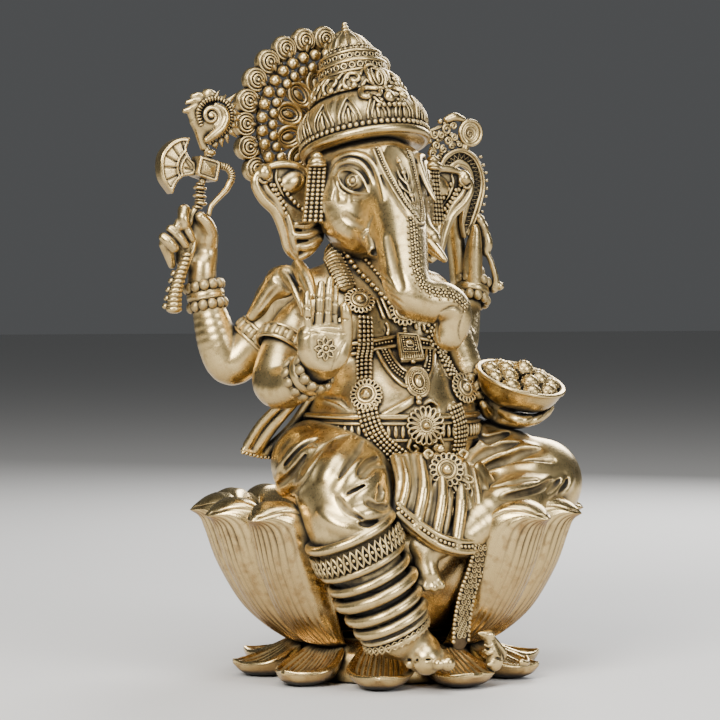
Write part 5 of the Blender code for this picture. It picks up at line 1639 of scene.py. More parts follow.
def sculpt_lower_right():
    """Front arm bent at the elbow, with the open palm raised."""
    clay = Clay()
    clay.add(Limb([(-34, 1, 149, 10.5), (-46, -3, 138, 9.4), (-53.5, -6, 127, 8.8), (-56.5, -10, 119.5,
                                                                                     9.0),
                   (-55, -17, 118, 8.4), (-52.5, -26, 121, 7.0), (-50.5, -33, 127, 6.2)]))
    outline = at_depth(((-24.7, 12.7), (-25.3, 8.6), (-24.8, 2.3), (-21.6, -3.6), (-15.3, -6.0),
                        (-9.1, -2.7), (-5.3, 3.6), (-3.5, 9.9), (-3.9, 14.0), (-7.8, 15.6), (-14.1, 16.2),
                        (-20.4, 14.9)), PALM_DEPTH)
    centre = outline.mean(axis=0)
    palm = Slab((outline - centre)[:, [0, 2]], centre, np.column_stack(((1, 0, 0), (0, 0, 1), (0, -1, 0))),
                8.6, 3.8)
    clay.add(palm, 1.5)
    clay.add(Egg(centre + vec(1.5, 2.5, -5), (8.0, 5.5, 9.5)), 2.5)
    for spots, wide in ((((-20.9, 9.9), (-21.2, 14.9), (-21.5, 20.0), (-21.6, 23.7), (-21.7, 27.3)), 1.72),
                        (((-17.4, 9.9), (-17.2, 15.6), (-16.7, 21.2), (-16.4, 26.3), (-15.9, 31.2)), 1.92),
                        (((-13.7, 9.9), (-13.5, 16.2), (-13.1, 22.5), (-12.8, 27.5), (-12.3, 32.9)), 1.98),
                        (((-10.2, 9.9), (-10.4, 15.6), (-10.5, 20.6), (-10.4, 25.0), (-10.1, 29.5)), 1.62)):
        depths = PALM_DEPTH - np.array((0.8, 1.6, 2.2, 2.2, 1.4))
        swell = wide * np.array((1.0, 0.97, 1.0, 0.98, 0.78))
        clay.add(Limb(spine(spots, depths, swell)), 0.25)
    thumb = ((-8.4, 3.0), (-6.3, 9.3), (-5.5, 14.9), (-5.8, 19.3), (-6.3, 22.0))
    clay.add(Limb(spine(thumb, (-39, -40.5, -42, -43, -43), (3.8, 3.0, 2.4, 2.35, 1.9))), 1.2)
    clay.add(Egg(at_depth(((-9.1, 2.3),), -40)[0], (4.0, 3.2, 6.0)), 2.0)
    clay.freeze()
    for crease in (((-22.6, 9.3), (-19.1, 11.8), (-15.3, 11.0)), ((-21.3, 12.1), (-14.1, 12.5),
                                                                  (-5.9, 11.0)), ((-11.6, -3.9),
                                                                                  (-9.7, 2.3),
                                                                                  (-6.5, 8.0))):
        clay.groove(crease, 0.3, 0.8)
    for joint in (((-23.4, 21.7), (-19.5, 21.5)), ((-18.9, 25.6), (-14.3, 25.4)), ((-15.0, 26.3),
                                                                                   (-10.6, 25.9)),
                  ((-12.2, 23.7), (-8.7, 23.5)),
                  ((-19.3, 19.8), (-14.8, 19.6)), ((-15.3, 20.1), (-11.2, 19.8)), ((-23.4, 17.4),
                                                                                   (-19.3, 17.2)),
                  ((-12.1, 18.7), (-8.7, 18.6)),
                  ((-7.7, 16.7), (-3.6, 16.3))):
        clay.groove(joint, 0.36, 0.3)
    return clay


def palm_rosette(arm):
    """A plain lotus rosette in the raised palm."""
    pile = Pile()
    middle = arm.seen(((-14.3, 4.7),), 0.2)[0]
    out = arm.normal([middle])[0]
    axes = axes_along(out)
    for i in range(8):
        turn = 2 * math.pi * i / 8
        spoke = axes[:, 0] * math.sin(turn) + axes[:, 1] * math.cos(turn)
        aside = axes[:, 0] * math.cos(turn) - axes[:, 1] * math.sin(turn)
        loop = [(0.0, 1.4), (0.95, 2.6), (0.75, 3.7), (0.0, 4.5), (-0.75, 3.7), (-0.95, 2.6)]
        ring = [middle + aside * across + spoke * along
                for across, along in smooth_path(loop, 4, closed=True)]
        pile.tube(arm.snap(ring, 0.25), 0.42, 7, closed=True)
    pile.ring(middle + out * 0.3, out, 1.5, 0.45, 7, 20)
    pile.egg(middle + out * 0.3, 0.9, None, 10, 7)
    pile.done("palm_rosette", BEAD_BRASS)


def sculpt_lower_left():
    """Far arm reaching forwards, its hand cupped under the bowl of sweets."""
    clay = Clay()
    clay.add(Limb([(22, 2, 148, 10.5), (28, -1, 138, 9.3), (31, -6, 128, 8.0), (33, -13, 118, 6.4),
                   (39, -18, 110, 5.5), (44.5, -21.5, 105.5, 5.2)]))
    clay.add(Egg((46, -24, 103.2), (9.5, 9.0, 3.6)), 2.0)
    for spots, depths in ((((58.4, -21.3), (62.6, -23.9), (66.8, -24.9), (69.9, -23.9)), (-33, -40, -43,
                                                                                          -43)),
                          (((61.5, -22.9), (66.2, -24.9), (71.0, -24.9), (74.1, -23.2)), (-33, -38, -41,
                                                                                          -41)),
                          (((63.6, -23.4), (68.9, -25.0), (73.6, -23.9), (76.7, -21.4)), (-32, -36, -38,
                                                                                          -38)),
                          (((65.7, -23.4), (71.5, -24.2), (76.2, -22.0), (78.7, -19.4)), (-30, -33, -35,
                                                                                          -35))):
        clay.add(Limb(spine(spots, depths, (2.0, 2.1, 1.8, 1.2))), 0.7)
    clay.add(Limb([(44, -18, 106, 3.0), (35, -22, 106, 2.6), (29.5, -27, 110, 2.0)]), 1.5)
    return clay


def build_bangle(name, centre, axis, radius, half_gap=3.9, bead=2.25, count=12):
    """Two rows of big beads with thin rings between and beside them."""
    pile = Pile()
    axis = unit(axis)
    axes = axes_along(axis, FRONT)
    for row in (-1, 1):
        middle = np.asarray(centre) + axis * row * half_gap
        for i in range(count):
            turn = 2 * math.pi * (i + 0.25 * row) / count
            spoke = axes[:, 0] * math.cos(turn) + axes[:, 1] * math.sin(turn)
            aside = np.cross(axis, spoke)
            frame_axes = np.column_stack((aside, spoke, axis))
            pile.egg(middle + spoke * (radius + 1.0), (bead * 0.96, bead * 0.8, bead), frame_axes, 14, 10)
        pile.ring(middle, axis, radius + 0.4, 1.3, 8, 36)
    for along, wire in ((-1.1, 0.5), (0.0, 0.42), (1.1, 0.5)):
        pile.ring(np.asarray(centre) + axis * along, axis, radius + 1.1, wire, 7, 40)
    pile.ring(centre, axis, radius + 0.2, 1.6, 8, 36, 1.6)
    pile.done(name + "_cast", BEAD_BRASS, (name,))


def build_armband(name, centre, axis, radius, ribs=17):
    """A cuff of upright ribs round the upper arm."""
    pile = Pile()
    axis = unit(axis)
    axes = axes_along(axis, FRONT)
    for i in range(ribs):
        turn = 2 * math.pi * i / ribs
        spoke = axes[:, 0] * math.cos(turn) + axes[:, 1] * math.sin(turn)
        frame_axes = np.column_stack((np.cross(axis, spoke), spoke, axis))
        reach = math.pi * radius / ribs
        pile.egg(np.asarray(centre) + spoke * radius, (reach * 1.02, 1.6, 2.9), frame_axes, 12, 9)
    for end in (-2.7, 2.7):
        pile.ring(np.asarray(centre) + axis * end, axis, radius + 0.3, 0.75, 7, 40)
    pile.ring(np.asarray(centre), axis, radius - 0.4, 1.5, 8, 40, 1.6)
    pile.done(name, BEAD_BRASS)


def hand_rope():
    """Rope of flattened beads hanging from the axe hand beside the wrist."""
    pile = Pile()
    spots = even_path(smooth_path(((-70.9, 43.3), (-72.0, 39.7), (-73.5, 36.4), (-74.5, 32.8),
                                   (-75.6, 28.9), (-76.2, 25.0), (-76.4, 20.9)), 8), 2.0)
    places = at_depth(spots, 21.0)
    sizes = np.linspace(1.9, 2.9, len(places))
    for place, size in zip(places, sizes):
        pile.egg(place, (size * 1.15, size, size * 0.62), None, 14, 8)
    for place in at_depth(((-79.8, 22.2), (-79.1, 25.3), (-78.4, 28.9), (-77.3, 32.5), (-76.4, 35.5)),
                          23.0):
        pile.egg(place, (1.6, 1.6, 1.3), None, 10, 7)
    pile.tube(at_depth(((-71.2, 43.9), (-74.0, 33.7), (-76.7, 21.6)), 22.5), 1.2, 7)
    pile.done("hand_rope", BEAD_BRASS)


def sleeve_folds():
    """The cloth gathered on the right shoulder: a roll down the arm and hanging edges beside the chest."""
    clay = Clay()
    clay.add(Limb(spine(((-33.0, 33.1), (-36.9, 27.7), (-40.5, 22.5), (-43.8, 18.3)), (5, 6, 8, 11),
                        (4.2, 4.2, 3.8, 2.8))), 2.5)
    clay.add(Egg(at_depth(((-31.7, 31.3),), 3)[0], (7, 6.5, 6.5)), 4.0)
    clay.add(Limb(spine(((-35.1, 35.2), (-31.7, 36.6), (-27.5, 35.7), (-25.4, 31.3)), (5, 1, -3, -6),
                        (2.0, 2.3, 2.2, 1.6))), 1.5)
    clay.add(Limb(spine(((-31.7, 35.5), (-28.7, 31.9), (-26.0, 27.1), (-24.2, 22.2), (-23.6, 18.6)),
                        (-1, -6, -10, -12, -12), (1.9, 1.8, 1.6, 1.3, 0.9))), 0.6)
    clay.add(Limb(spine(((-25.4, 38.5), (-23.0, 34.3), (-20.9, 29.8), (-19.7, 26.5)), (-5, -12, -18, -22),
                        (2.8, 3.4, 2.8, 1.8))), 1.0)
    clay.freeze()
    for spots in (((-35.1, 33.7), (-32.0, 31.3), (-28.4, 27.7)), ((-31.1, 33.7), (-28.7, 28.9),
                                                                  (-26.6, 22.8)), ((-33.9, 30.7),
                                                                                   (-38.1, 25.3),
                                                                                   (-41.7, 20.4)),
                  ((-25.4, 36.1), (-23.3, 31.3), (-21.5, 26.5))):
        clay.groove(spots, 0.6, 0.8)
    return clay


BANGLES = (("bangle_upper_right", (-70.1, 26.6, 154.3), (-.14, .14, 1), 6.1),
           ("bangle_upper_left", (55.2, 26.4, 156.5), (.3, .3, 1), 6.0),
           ("bangle_lower_right", (-51.9, -29.5, 123.4), (.3, -.85, .42), 7.0),
           ("bangle_lower_left", (34.5, -14.5, 116), (.45, -.5, -.74), 7.0))

sculpt_upper_right().mesh("arm_upper_right_cast", BRASS, 0.45, replaces=("arm_upper_right",))
sculpt_upper_left().mesh("arm_upper_left_cast", BRASS, 0.5, replaces=("arm_upper_left",))
blessing = sculpt_lower_right()
blessing.mesh("arm_lower_right_cast", BRASS, 0.42, replaces=("arm_lower_right",))
palm_rosette(blessing)
sculpt_lower_left().mesh("arm_lower_left_cast", BRASS, 0.5, replaces=("arm_lower_left",))
sleeve_folds().mesh("sleeve_cast", BRASS, 0.5)
for bangle in BANGLES:
    build_bangle(*bangle)
build_armband("armband_front", (-50.6, -4.2, 135.6), (-.55, -.2, -.8), 9.3)
build_armband("armband_back", (-51.5, 16.5, 137.0), (-.6, .3, -.75), 9.6)
hand_rope()


# ---- garlands and necklaces on the body ----
def rope_frames(path, clay):
    """Even surface places with their outward, forward and sideways directions."""
    normals = clay.normal(path)
    along = np.gradient(path, axis=0)
    along /= np.maximum(np.linalg.norm(along, axis=1, keepdims=True), 1e-9)
    return normals, along, np.cross(along, normals)


def on_surface(clay, path):
    """Only the places that met the surface, for a line that runs past its edge."""
    return path[np.abs(clay.at(path)) < 0.4]


def bead_rows(pile, clay, spots, rows, pitch, radius, step=None, lift=1.2):
    """Parallel strands of beads laid over the surface under the spots."""
    path = on_surface(clay, clay.seen(even_path(smooth_path(spots, 8), step or radius * 2.05), 0.0))
    normals, _, side = rope_frames(path, clay)
    for k in range(rows):
        offset = (k - (rows - 1) / 2) * pitch
        swell = lift + 0.5 * (1 - (2 * abs(offset) / max(pitch * rows, 1e-6)) ** 2)
        pile.beads(path + side * offset + normals * swell, radius, 8, 6)
    pile.tube(path - normals * 0.4, max(pitch * rows * 0.48, radius), 8, flat=0.4, normal=normals)


def ribbed_mala(pile, clay, spots, wide, step=1.35, lift=1.2):
    """A thick rope of closely set flat rings, each ring beaded at its ends."""
    path = on_surface(clay, clay.seen(even_path(smooth_path(spots, 8), step), 0.0))
    normals, along, side = rope_frames(path, clay)
    for place, out, forward, aside in zip(path, normals, along, side):
        axes = np.column_stack((aside, forward, out))
        pile.egg(place + out * lift, (wide, 0.52, 2.0), axes, 12, 8)
        for sign in (-1, -0.33, 0.33, 1):
            pile.egg(place + out * (lift + 1.9 - 1.3 * abs(sign)) + aside * sign * wide * 0.82, 0.62, None,
                     7, 5)
    pile.tube(path + normals * lift, wide * 0.86, 10, flat=0.38, normal=normals)


def rail(pile, clay, spots, radius, lift=0.8, spacing=1.0, sides=7):
    path = clay.seen(even_path(smooth_path(spots, 8), spacing), lift)
    pile.tube(path, radius, sides)
    return path


def flower(pile, place, out, ring=3.0, petals=18, inner=3.6, outer=6.0, domed=2.0, hub=None):
    """Round flower: a raised gem in a ring with a fringe of looped petals."""
    axes = axes_along(out)
    out = axes[:, 2]
    pile.egg(place + out * 0.2, (inner + 0.6, inner + 0.6, 1.6), axes, 20, 8)
    pile.ring(place + out * 1.4, out, ring, 0.62, 8, 30)
    pile.ring(place + out * 1.0, out, ring + 1.0, 0.4, 6, 30)
    pile.egg(place + out * 1.2, (ring * 0.7, ring * 0.7, domed), axes, 16, 10)
    if hub:
        pile.egg(place + out * (1.1 + domed), hub, axes, 10, 7)
    for i in range(petals):
        turn = 2 * math.pi * (i + 0.5) / petals
        spoke = axes[:, 0] * math.cos(turn) + axes[:, 1] * math.sin(turn)
        aside = np.cross(out, spoke)
        width = math.pi * outer / petals * 0.72
        loop = [(inner, 0), (inner + 0.6, width * 0.8), (outer - 0.6, width), (outer + 0.1, 0),
                (outer - 0.6, -width),
                (inner + 0.6, -width * 0.8)]
        path = [place + spoke * reach + aside * across + out * (1.0 - 0.09 * (reach - inner) ** 1.4)
                for reach, across in smooth_path(loop, 3, closed=True)]
        pile.tube(path, 0.4, 6, closed=True)
    pile.ring(place - out * 0.2, out, (inner + outer) / 2, 1.0, 7, 30, 0.6)


def place_flower(pile, clay, spot, lift=1.4, lean=0.35, **shape):
    """A flower on the surface, turned a little towards the front quarter."""
    place = clay.seen(spot)[0]
    out = unit(clay.normal([place])[0] + TOWARD * lean)
    flower(pile, place + out * lift, out, **shape)
    return place, out


def build_mala(clay):
    """Garland: a ridged rope to the first flower, bead strands down to the bottom flower and up again."""
    pile = Pile()
    ribbed_mala(pile, clay, ((-12.6, 48.0), (-11.0, 43.3), (-9.1, 37.2), (-5.8, 29.6)), 4.4)
    bead_rows(pile, clay, ((1.8, 16.9), (1.9, 9.4), (1.9, 0.9), (1.9, -8.1)), 4, 1.75, 0.84)
    bead_rows(pile, clay, ((2.9, -19.5), (4.9, -27.1), (8.6, -33.4), (14.2, -38.4), (21.8, -43.1),
                           (29.9, -46.6)), 5, 1.7, 0.84)
    bead_rows(pile, clay, ((30.5, 7.5), (32.7, 2.7), (34.9, -2.4), (37.6, -7.2)), 4, 1.75, 0.84)
    bead_rows(pile, clay, ((38.1, -19.5), (40.0, -25.8), (40.3, -32.1), (39.4, -37.8)), 5, 1.7, 0.84)
    bead_rows(pile, clay, ((31.0, 15.0), (28.2, 12.2), (30.1, 7.5)), 3, 1.6, 0.8)
    pile.done("garland_strands", BEAD_BRASS, ("garland_mala",))
    pile = Pile()
    place_flower(pile, clay, ((-0.5, 23.2),))
    place_flower(pile, clay, ((2.8, -14.8),), ring=3.1, petals=20, outer=6.3)
    place_flower(pile, clay, ((17.8, 19.4),), lift=2.0, outer=6.2, ring=3.3)
    place_flower(pile, clay, ((41.0, -12.6),), lift=2.2, outer=6.2, ring=3.0)
    pile.done("garland_flowers", BEAD_BRASS)


def bottom_flower():
    """Large flower at the foot of the garland with a fan below and scrolls above."""
    pile = Pile()
    place = vec(-3.5, -54.2, 85.9)
    out = unit((-0.35, -0.92, 0.18))
    flower(pile, place, out, ring=3.2, petals=16, inner=3.9, outer=6.6)
    axes = axes_along(out)
    for i in range(9):
        turn = math.radians(-90 + 17 * (i - 4))
        spoke = axes[:, 0] * math.cos(turn) + axes[:, 1] * math.sin(turn)
        aside = np.cross(out, spoke)
        loop = [(6.2, 0), (8.0, 1.0), (10.2, 1.25), (11.6, 0), (10.2, -1.25), (8.0, -1.0)]
        path = [place + spoke * reach + aside * across - out * 0.6
                for reach, across in smooth_path(loop, 3, closed=True)]
        pile.tube(path, 0.5, 6, closed=True)
        pile.egg(place + spoke * 9.4 - out * 0.8, (0.6, 0.6, 0.6), None, 7, 5)
    pile.egg(place + axes[:, 1] * 8.4 - out * 0.2 - axes[:, 0] * 2.0, (1.9, 1.9, 1.5), axes, 12, 8)
    for side in (-1, 1):
        curl = [(side * 7.4, 4.6), (side * 8.6, 6.6), (side * 6.8, 7.8), (side * 5.4, 6.4), (side * 6.4,
                                                                                             5.4)]
        pile.tube([place + axes[:, 0] * x + axes[:, 1] * y for x, y in smooth_path(curl, 5)], 0.7, 7)
    pile.done("garland_foot", BEAD_BRASS)


def build_brooch(clay):
    """Square brooch with a beaded frame and fringe on the chest band."""
    pile = Pile()
    corners = clay.seen(((13.9, 10.2), (23.1, 10.2), (25.4, -1.5), (16.7, -2.1)), 2.2)
    right = unit(corners[1] - corners[0] + corners[2] - corners[3])
    down = unit(corners[3] - corners[0] + corners[2] - corners[1])
    out = unit(np.cross(down, right))
    if out @ TOWARD < 0:
        out = -out
    plate = np.vstack([corner - out * depth for depth in (0.0, 2.2) for corner in corners])
    faces = np.array(((0, 1, 2, 3), (7, 6, 5, 4), (0, 4, 5, 1), (1, 5, 6, 2), (2, 6, 7, 3), (3, 7, 4, 0)))
    box = Pile()
    box.put(plate, faces)
    box.done("brooch_plate", BEAD_BRASS)

    def spot(across, along):
        top = corners[0] + (corners[1] - corners[0]) * across
        foot = corners[3] + (corners[2] - corners[3]) * across
        return top + (foot - top) * along

    for inset, wire, low in ((0.02, 0.6, 0.98), (0.13, 0.34, 0.70), (0.34, 0.4, 0.52)):
        frame_path = [spot(inset, inset * 0.75), spot(1 - inset, inset * 0.75), spot(1 - inset, low),
                      spot(inset, low)]
        pile.tube(even_path(frame_path, 1.0, closed=True) + out * 0.35, wire, 7, closed=True)
    beads = [spot(0.235, 0.16), spot(0.765, 0.16), spot(0.765, 0.615), spot(0.235, 0.615)]
    pile.beads(even_path(beads, 1.25, closed=True) + out * 0.4, 0.5, 8, 6)
    axes = np.column_stack((right, np.cross(out, right), out))
    pile.egg(spot(0.5, 0.34) + out * 0.2, (2.1, 1.5, 1.6), axes, 14, 8)
    for i in range(9):
        across = 0.1 + 0.8 * i / 8
        pile.tube([spot(across, 0.76) + out * 0.4, spot(across, 0.95) + out * 0.4], 0.5, 6)
    pile.egg(spot(0.5, 1.06) + out * 0.2, 1.1, None, 9, 6)
    pile.done("brooch_jewels", BEAD_BRASS)


def build_collar(clay):
    """Double-railed chest band, the U-shaped necklace and its oval pendant."""
    pile = Pile()
    for line in (((-3.4, 2.5), (1.8, 3.2), (6.5, 4.3), (11.2, 4.8), (16.4, 5.1), (22.5, 4.7), (29.6, 4.5)),
                 ((-3.4, 6.9), (1.8, 7.5), (6.5, 8.3), (11.2, 9.0), (16.4, 9.3), (22.5, 9.1), (29.6, 7.9))):
        rail(pile, clay, line, 0.85)
    for row in (((-2.5, 5.3), (3.6, 6.0), (8.4, 6.9), (12.6, 7.4)), ((24.4, 6.9), (26.8, 6.8),
                                                                     (29.6, 6.2))):
        pile.beads(clay.seen(even_path(smooth_path(row, 6), 1.3), 0.7), 0.6, 8, 6)
    for line, wire in ((((6.9, 3.2), (9.1, -1.0), (12.6, -6.2), (17.3, -10.5), (19.5, -11.2)), 0.85),
                       (((11.8, 3.7), (13.8, -0.1), (16.9, -3.9), (19.7, -5.6)), 0.6),
                       (((29.7, 3.7), (30.0, -0.1), (29.4, -4.8), (27.6, -8.9)), 0.85),
                       (((26.7, 3.7), (26.9, 0.4), (26.3, -3.4)), 0.6)):
        rail(pile, clay, line, wire, 0.9)
    for line in (((8.9, 3.7), (11.0, -0.5), (14.3, -5.1), (18.3, -8.1)), ((10.3, 3.7), (12.4, -0.4),
                                                                          (15.4, -4.3), (18.7, -6.7)),
                 ((28.2, 3.5), (28.4, -0.1), (27.7, -4.8))):
        pile.beads(clay.seen(even_path(smooth_path(line, 6), 1.25), 0.75), 0.58, 8, 6)
    place = clay.seen(((23.5, -9.5),))[0]
    out = unit(clay.normal([place])[0] + TOWARD * 0.3)
    axes = axes_along(out)
    turns = 2 * np.pi * np.arange(48) / 48
    for wide, tall, wire, lift in ((3.9, 5.3, 0.6, 1.2), (2.5, 3.5, 0.5, 2.0), (4.7, 6.2, 0.75, 0.9)):
        ring = circle(place, axes, turns, wide, tall)
        pile.tube(ring + out * lift, wire, 8, closed=True)
    ring = circle(place, axes, turns, 3.2, 4.5) + out * 1.7
    pile.beads(even_path(ring, 1.05, closed=True), 0.5, 7, 5)
    pile.egg(place + out * 0.6, (4.5, 6.0, 1.2), axes, 24, 8)
    pile.egg(place + out * 1.5, (2.0, 3.0, 1.9), axes, 18, 10)
    pile.beads(clay.seen(((23.6, -16.1), (23.6, -17.8)), 1.6), 1.3, 10, 7)
    pile.done("collar", BEAD_BRASS)


def build_pendant(clay):
    """Large open flower hanging at the belly with scrolls below."""
    pile = Pile()
    place = clay.seen(((26.2, -27.1),))[0]
    out = unit(clay.normal([place])[0] + TOWARD * 0.45 + UP * 0.1)
    place = place + out * 2.4
    axes = axes_along(out)
    pile.egg(place - out * 0.6, (6.0, 6.0, 1.8), axes, 24, 8)
    pile.egg(place + out * 1.0, (1.7, 1.7, 1.7), axes, 14, 10)
    pile.ring(place + out * 0.9, out, 2.5, 0.5, 7, 26)
    for i in range(18):
        turn = 2 * math.pi * i / 18
        spoke = axes[:, 0] * math.cos(turn) + axes[:, 1] * math.sin(turn)
        aside = np.cross(out, spoke)
        loop = [(2.9, 0), (4.6, 0.55), (6.6, 1.05), (7.7, 0), (6.6, -1.05), (4.6, -0.55)]
        path = [place + spoke * reach + aside * across + out * (1.0 - 0.16 * (reach - 2.9))
                for reach, across in smooth_path(loop, 3, closed=True)]
        pile.tube(path, 0.42, 6, closed=True)
    for line, wire in ((((20.5, -32.1), (19.3, -35.3), (21.1, -37.8), (23.0, -36.2), (21.8, -34.6)), 0.75),
                       (((31.8, -31.8), (33.1, -35.0), (31.2, -37.5), (29.3, -35.9), (30.6, -34.3)), 0.75)):
        pile.tube(clay.seen(even_path(smooth_path(line, 6), 0.6), 2.0), wire, 8)
    rail(pile, clay, ((26.2, -34.6), (26.2, -36.8), (25.9, -39.0)), 1.0, 1.8)
    pile.beads(clay.seen(((24.0, -33.7), (26.2, -34.3), (28.4, -33.7)), 2.2), 0.9, 8, 6)
    pile.done("belly_pendant", BEAD_BRASS)


def neck_chains(clay):
    """Single bead chain beside the garland, the neck tassels and small fringes."""
    pile = Pile()
    path = clay.seen(even_path(smooth_path(((-5.8, 46.2), (-3.9, 40.5), (-1.1, 36.2), (2.2, 32.9),
                                            (5.5, 29.6), (8.4, 26.3), (11.2, 23.0)), 8), 2.5), 1.6)
    pile.beads(path, 1.25, 10, 7)
    path = clay.seen(even_path(smooth_path(((-2.5, 46.2), (0.8, 42.4), (4.6, 38.1), (8.4, 33.4),
                                            (11.7, 27.3)), 8), 1.8), 1.0)
    pile.beads(path, 0.85, 8, 6)
    for line in (((6.5, 24.5), (7.9, 20.7), (9.3, 16.9)), ((8.4, 24.9), (9.8, 21.6), (11.7, 16.9)),
                 ((10.3, 15.0), (11.2, 12.7), (10.7, 10.3)),
                 ((22.5, 15.0), (23.0, 12.7)), ((25.8, 14.5), (26.1, 12.2)), ((28.2, 12.7), (28.7, 10.3))):
        rail(pile, clay, line, 0.75, 0.9, 0.8)
    pile.beads(clay.seen(((18.0, 14.1), (18.0, 12.4), (18.2, 11.1)), 1.8), 0.95, 8, 6)
    pile.done("neck_chains", BEAD_BRASS)


build_mala(body)
bottom_flower()
build_brooch(body)
build_collar(body)
build_pendant(body)
neck_chains(body)


# ---- things held and the mouse ----
UPRIGHT = np.column_stack(((1, 0, 0), (0, 0, 1), (0, -1, 0)))
AXE_FACE = 24.2


def plate(outline, face, thickness, edge=0.5, per_span=4):
    """An upright plate behind an outline given as view spots on the plane y = face."""
    places = at_depth(outline, face)
    centre = places.mean(axis=0) + vec(0, thickness / 2, 0)
    return Slab((places - centre)[:, [0, 2]], centre, UPRIGHT, thickness, edge, per_span=per_span)


def wire(pile, spots, depth, radius, sides=7, spacing=0.8, closed=False):
    path = at_depth(even_path(smooth_path(spots, 8, closed), spacing, closed), depth)
    pile.tube(path, radius, sides, closed=closed)
    return path


def build_axe_blade():
    outline = ((-69.6, 91.2), (-73.6, 91.3), (-77.8, 89.2), (-81.1, 84.9), (-81.9, 79.4), (-80.9, 74.2),
               (-77.8, 69.6), (-76.6, 68.4), (-75.7, 71.0), (-74.3, 73.6), (-72.0, 75.5), (-67.6, 76.3),
               (-67.3, 80.7), (-69.2, 82.3), (-70.8, 85.5), (-70.6, 88.2))
    clay = Clay()
    clay.add(plate(outline, AXE_FACE, 6.4, 0.9))
    inner = ((-71.0, 89.8), (-73.6, 89.8), (-77.1, 87.6), (-79.9, 84.0), (-80.5, 79.4), (-79.7, 74.6),
             (-77.6, 71.0), (-76.2, 73.4), (-73.6, 76.1), (-68.6, 77.5), (-68.6, 80.4), (-70.5, 82.4),
             (-72.1, 85.5), (-72.0, 88.2))
    places = at_depth(inner, AXE_FACE)
    centre = places.mean(axis=0)
    clay.cut(Slab((places - centre)[:, [0, 2]], centre, UPRIGHT, 1.2, 0.2), 0.2)
    for line, radius in ((((-71.6, 86.2), (-74.0, 83.1), (-75.1, 79.4), (-74.6, 76.5), (-73.7, 75.0)),
                          0.55), (((-71.5, 83.5), (-73.1, 80.6), (-73.5, 77.8), (-72.8, 75.7)), 0.45)):
        clay.add(drawn(at_depth(even_path(smooth_path(line, 6), 0.8), AXE_FACE + 0.4), radius, 1.0), 0.1)
    for line in (((-76.9, 87.8), (-74.0, 83.5)), ((-79.7, 84.1), (-75.1, 81.3)), ((-80.6, 79.4),
                                                                                  (-75.1, 78.9)),
                 ((-79.4, 73.8), (-74.5, 76.1)), ((-73.1, 89.5), (-72.0, 86.1)),
                 ((-71.6, 81.9), (-69.5, 78.9)), ((-71.7, 78.9), (-69.0, 78.2))):
        clay.cut(drawn(at_depth(even_path(line, 0.8), AXE_FACE + 0.6), 0.42, 1.0), 0.1)
    clay.mesh("axe_blade_cast", BRASS, 0.3, replaces=("axe_blade",))


def build_axe_handle():
    """Square boss with a raised frame, the coiled hook and the turned shaft."""
    clay = Clay()
    square = ((-65.3, 84.0), (-56.9, 81.5), (-58.5, 73.1), (-66.9, 76.0))
    places = at_depth(square, 21.4)
    centre = places.mean(axis=0)
    local = (places - centre)[:, [0, 2]]
    clay.add(Slab(even_path(local, 1.4, closed=True), centre + vec(0, 4.6, 0), UPRIGHT, 9.2, 0.5,
                  per_span=1))
    clay.cut(Slab(even_path(local * 0.74, 1.2, closed=True), centre, UPRIGHT, 1.3, 0.2, per_span=1), 0.15)
    for inset, depth in ((0.6, 0.45), (0.44, 0.1), (0.28, -0.25), (0.12, -0.6)):
        step = Slab(even_path(local * inset, 0.7, closed=True), centre + vec(0, depth + 0.6, 0), UPRIGHT,
                    1.2, 0.1, per_span=1)
        clay.add(step, 0.35)
    clay.mesh("axe_boss", BRASS, 0.3)
    pile = Pile()
    hook = at_depth(even_path(smooth_path(((-57.3, 79.8), (-54.8, 79.1), (-53.0, 77.1), (-52.7, 74.8),
                                           (-53.3, 72.7)), 8), 0.5), 24.0)
    for i in range(0, len(hook) - 1, 2):
        pile.ring(hook[i], hook[min(i + 1, len(hook) - 1)] - hook[i], 1.15, 0.45, 6, 16)
    pile.tube(hook, 1.1, 10)
    tail = at_depth(even_path(smooth_path(((-53.1, 73.6), (-54.8, 70.2), (-57.3, 67.5), (-59.4, 65.4),
                                           (-61.3, 62.9), (-62.2, 59.3)), 8), 0.8), 24.0)
    pile.tube(tail, np.linspace(1.45, 0.95, len(tail)), 12)
    for spot, radius, tall in ((((-65.7, 72.2),), 1.9, 0.8), (((-65.8, 70.6),), 2.9, 1.0),
                               (((-65.7, 68.9),), 2.1, 0.7), (((-66.0, 67.3),), 2.9, 1.0),
                               (((-65.8, 65.7),), 2.2, 0.7), (((-65.5, 64.3),), 2.7, 1.1),
                               (((-66.9, 62.7),), 2.2, 0.9), (((-61.5, 85.2),), 2.3, 1.5),
                               (((-62.1, 83.8),), 1.7, 0.9)):
        place = at_depth(spot, 25.2)[0]
        pile.egg(place, (radius, radius, tall), axes_along(vec(0.14, 0, 1), FRONT), 20, 10)
    pile.tube(at_depth(((-63.6, 87.8), (-62.7, 84.9), (-63.6, 77.3), (-65.7, 70.6), (-65.7, 64.8),
                        (-68.6, 60.6), (-70.3, 55.5)), 25.6), 1.4, 10)
    pile.tube(at_depth(((-68.2, 50.0), (-68.8, 45.8), (-70.5, 41.5), (-72.4, 36.1), (-74.3, 30.7),
                        (-76.1, 24.0)), 26.0), 1.5, 10)
    pile.done("axe_handle_cast", BEAD_BRASS, ("axe_handle",))


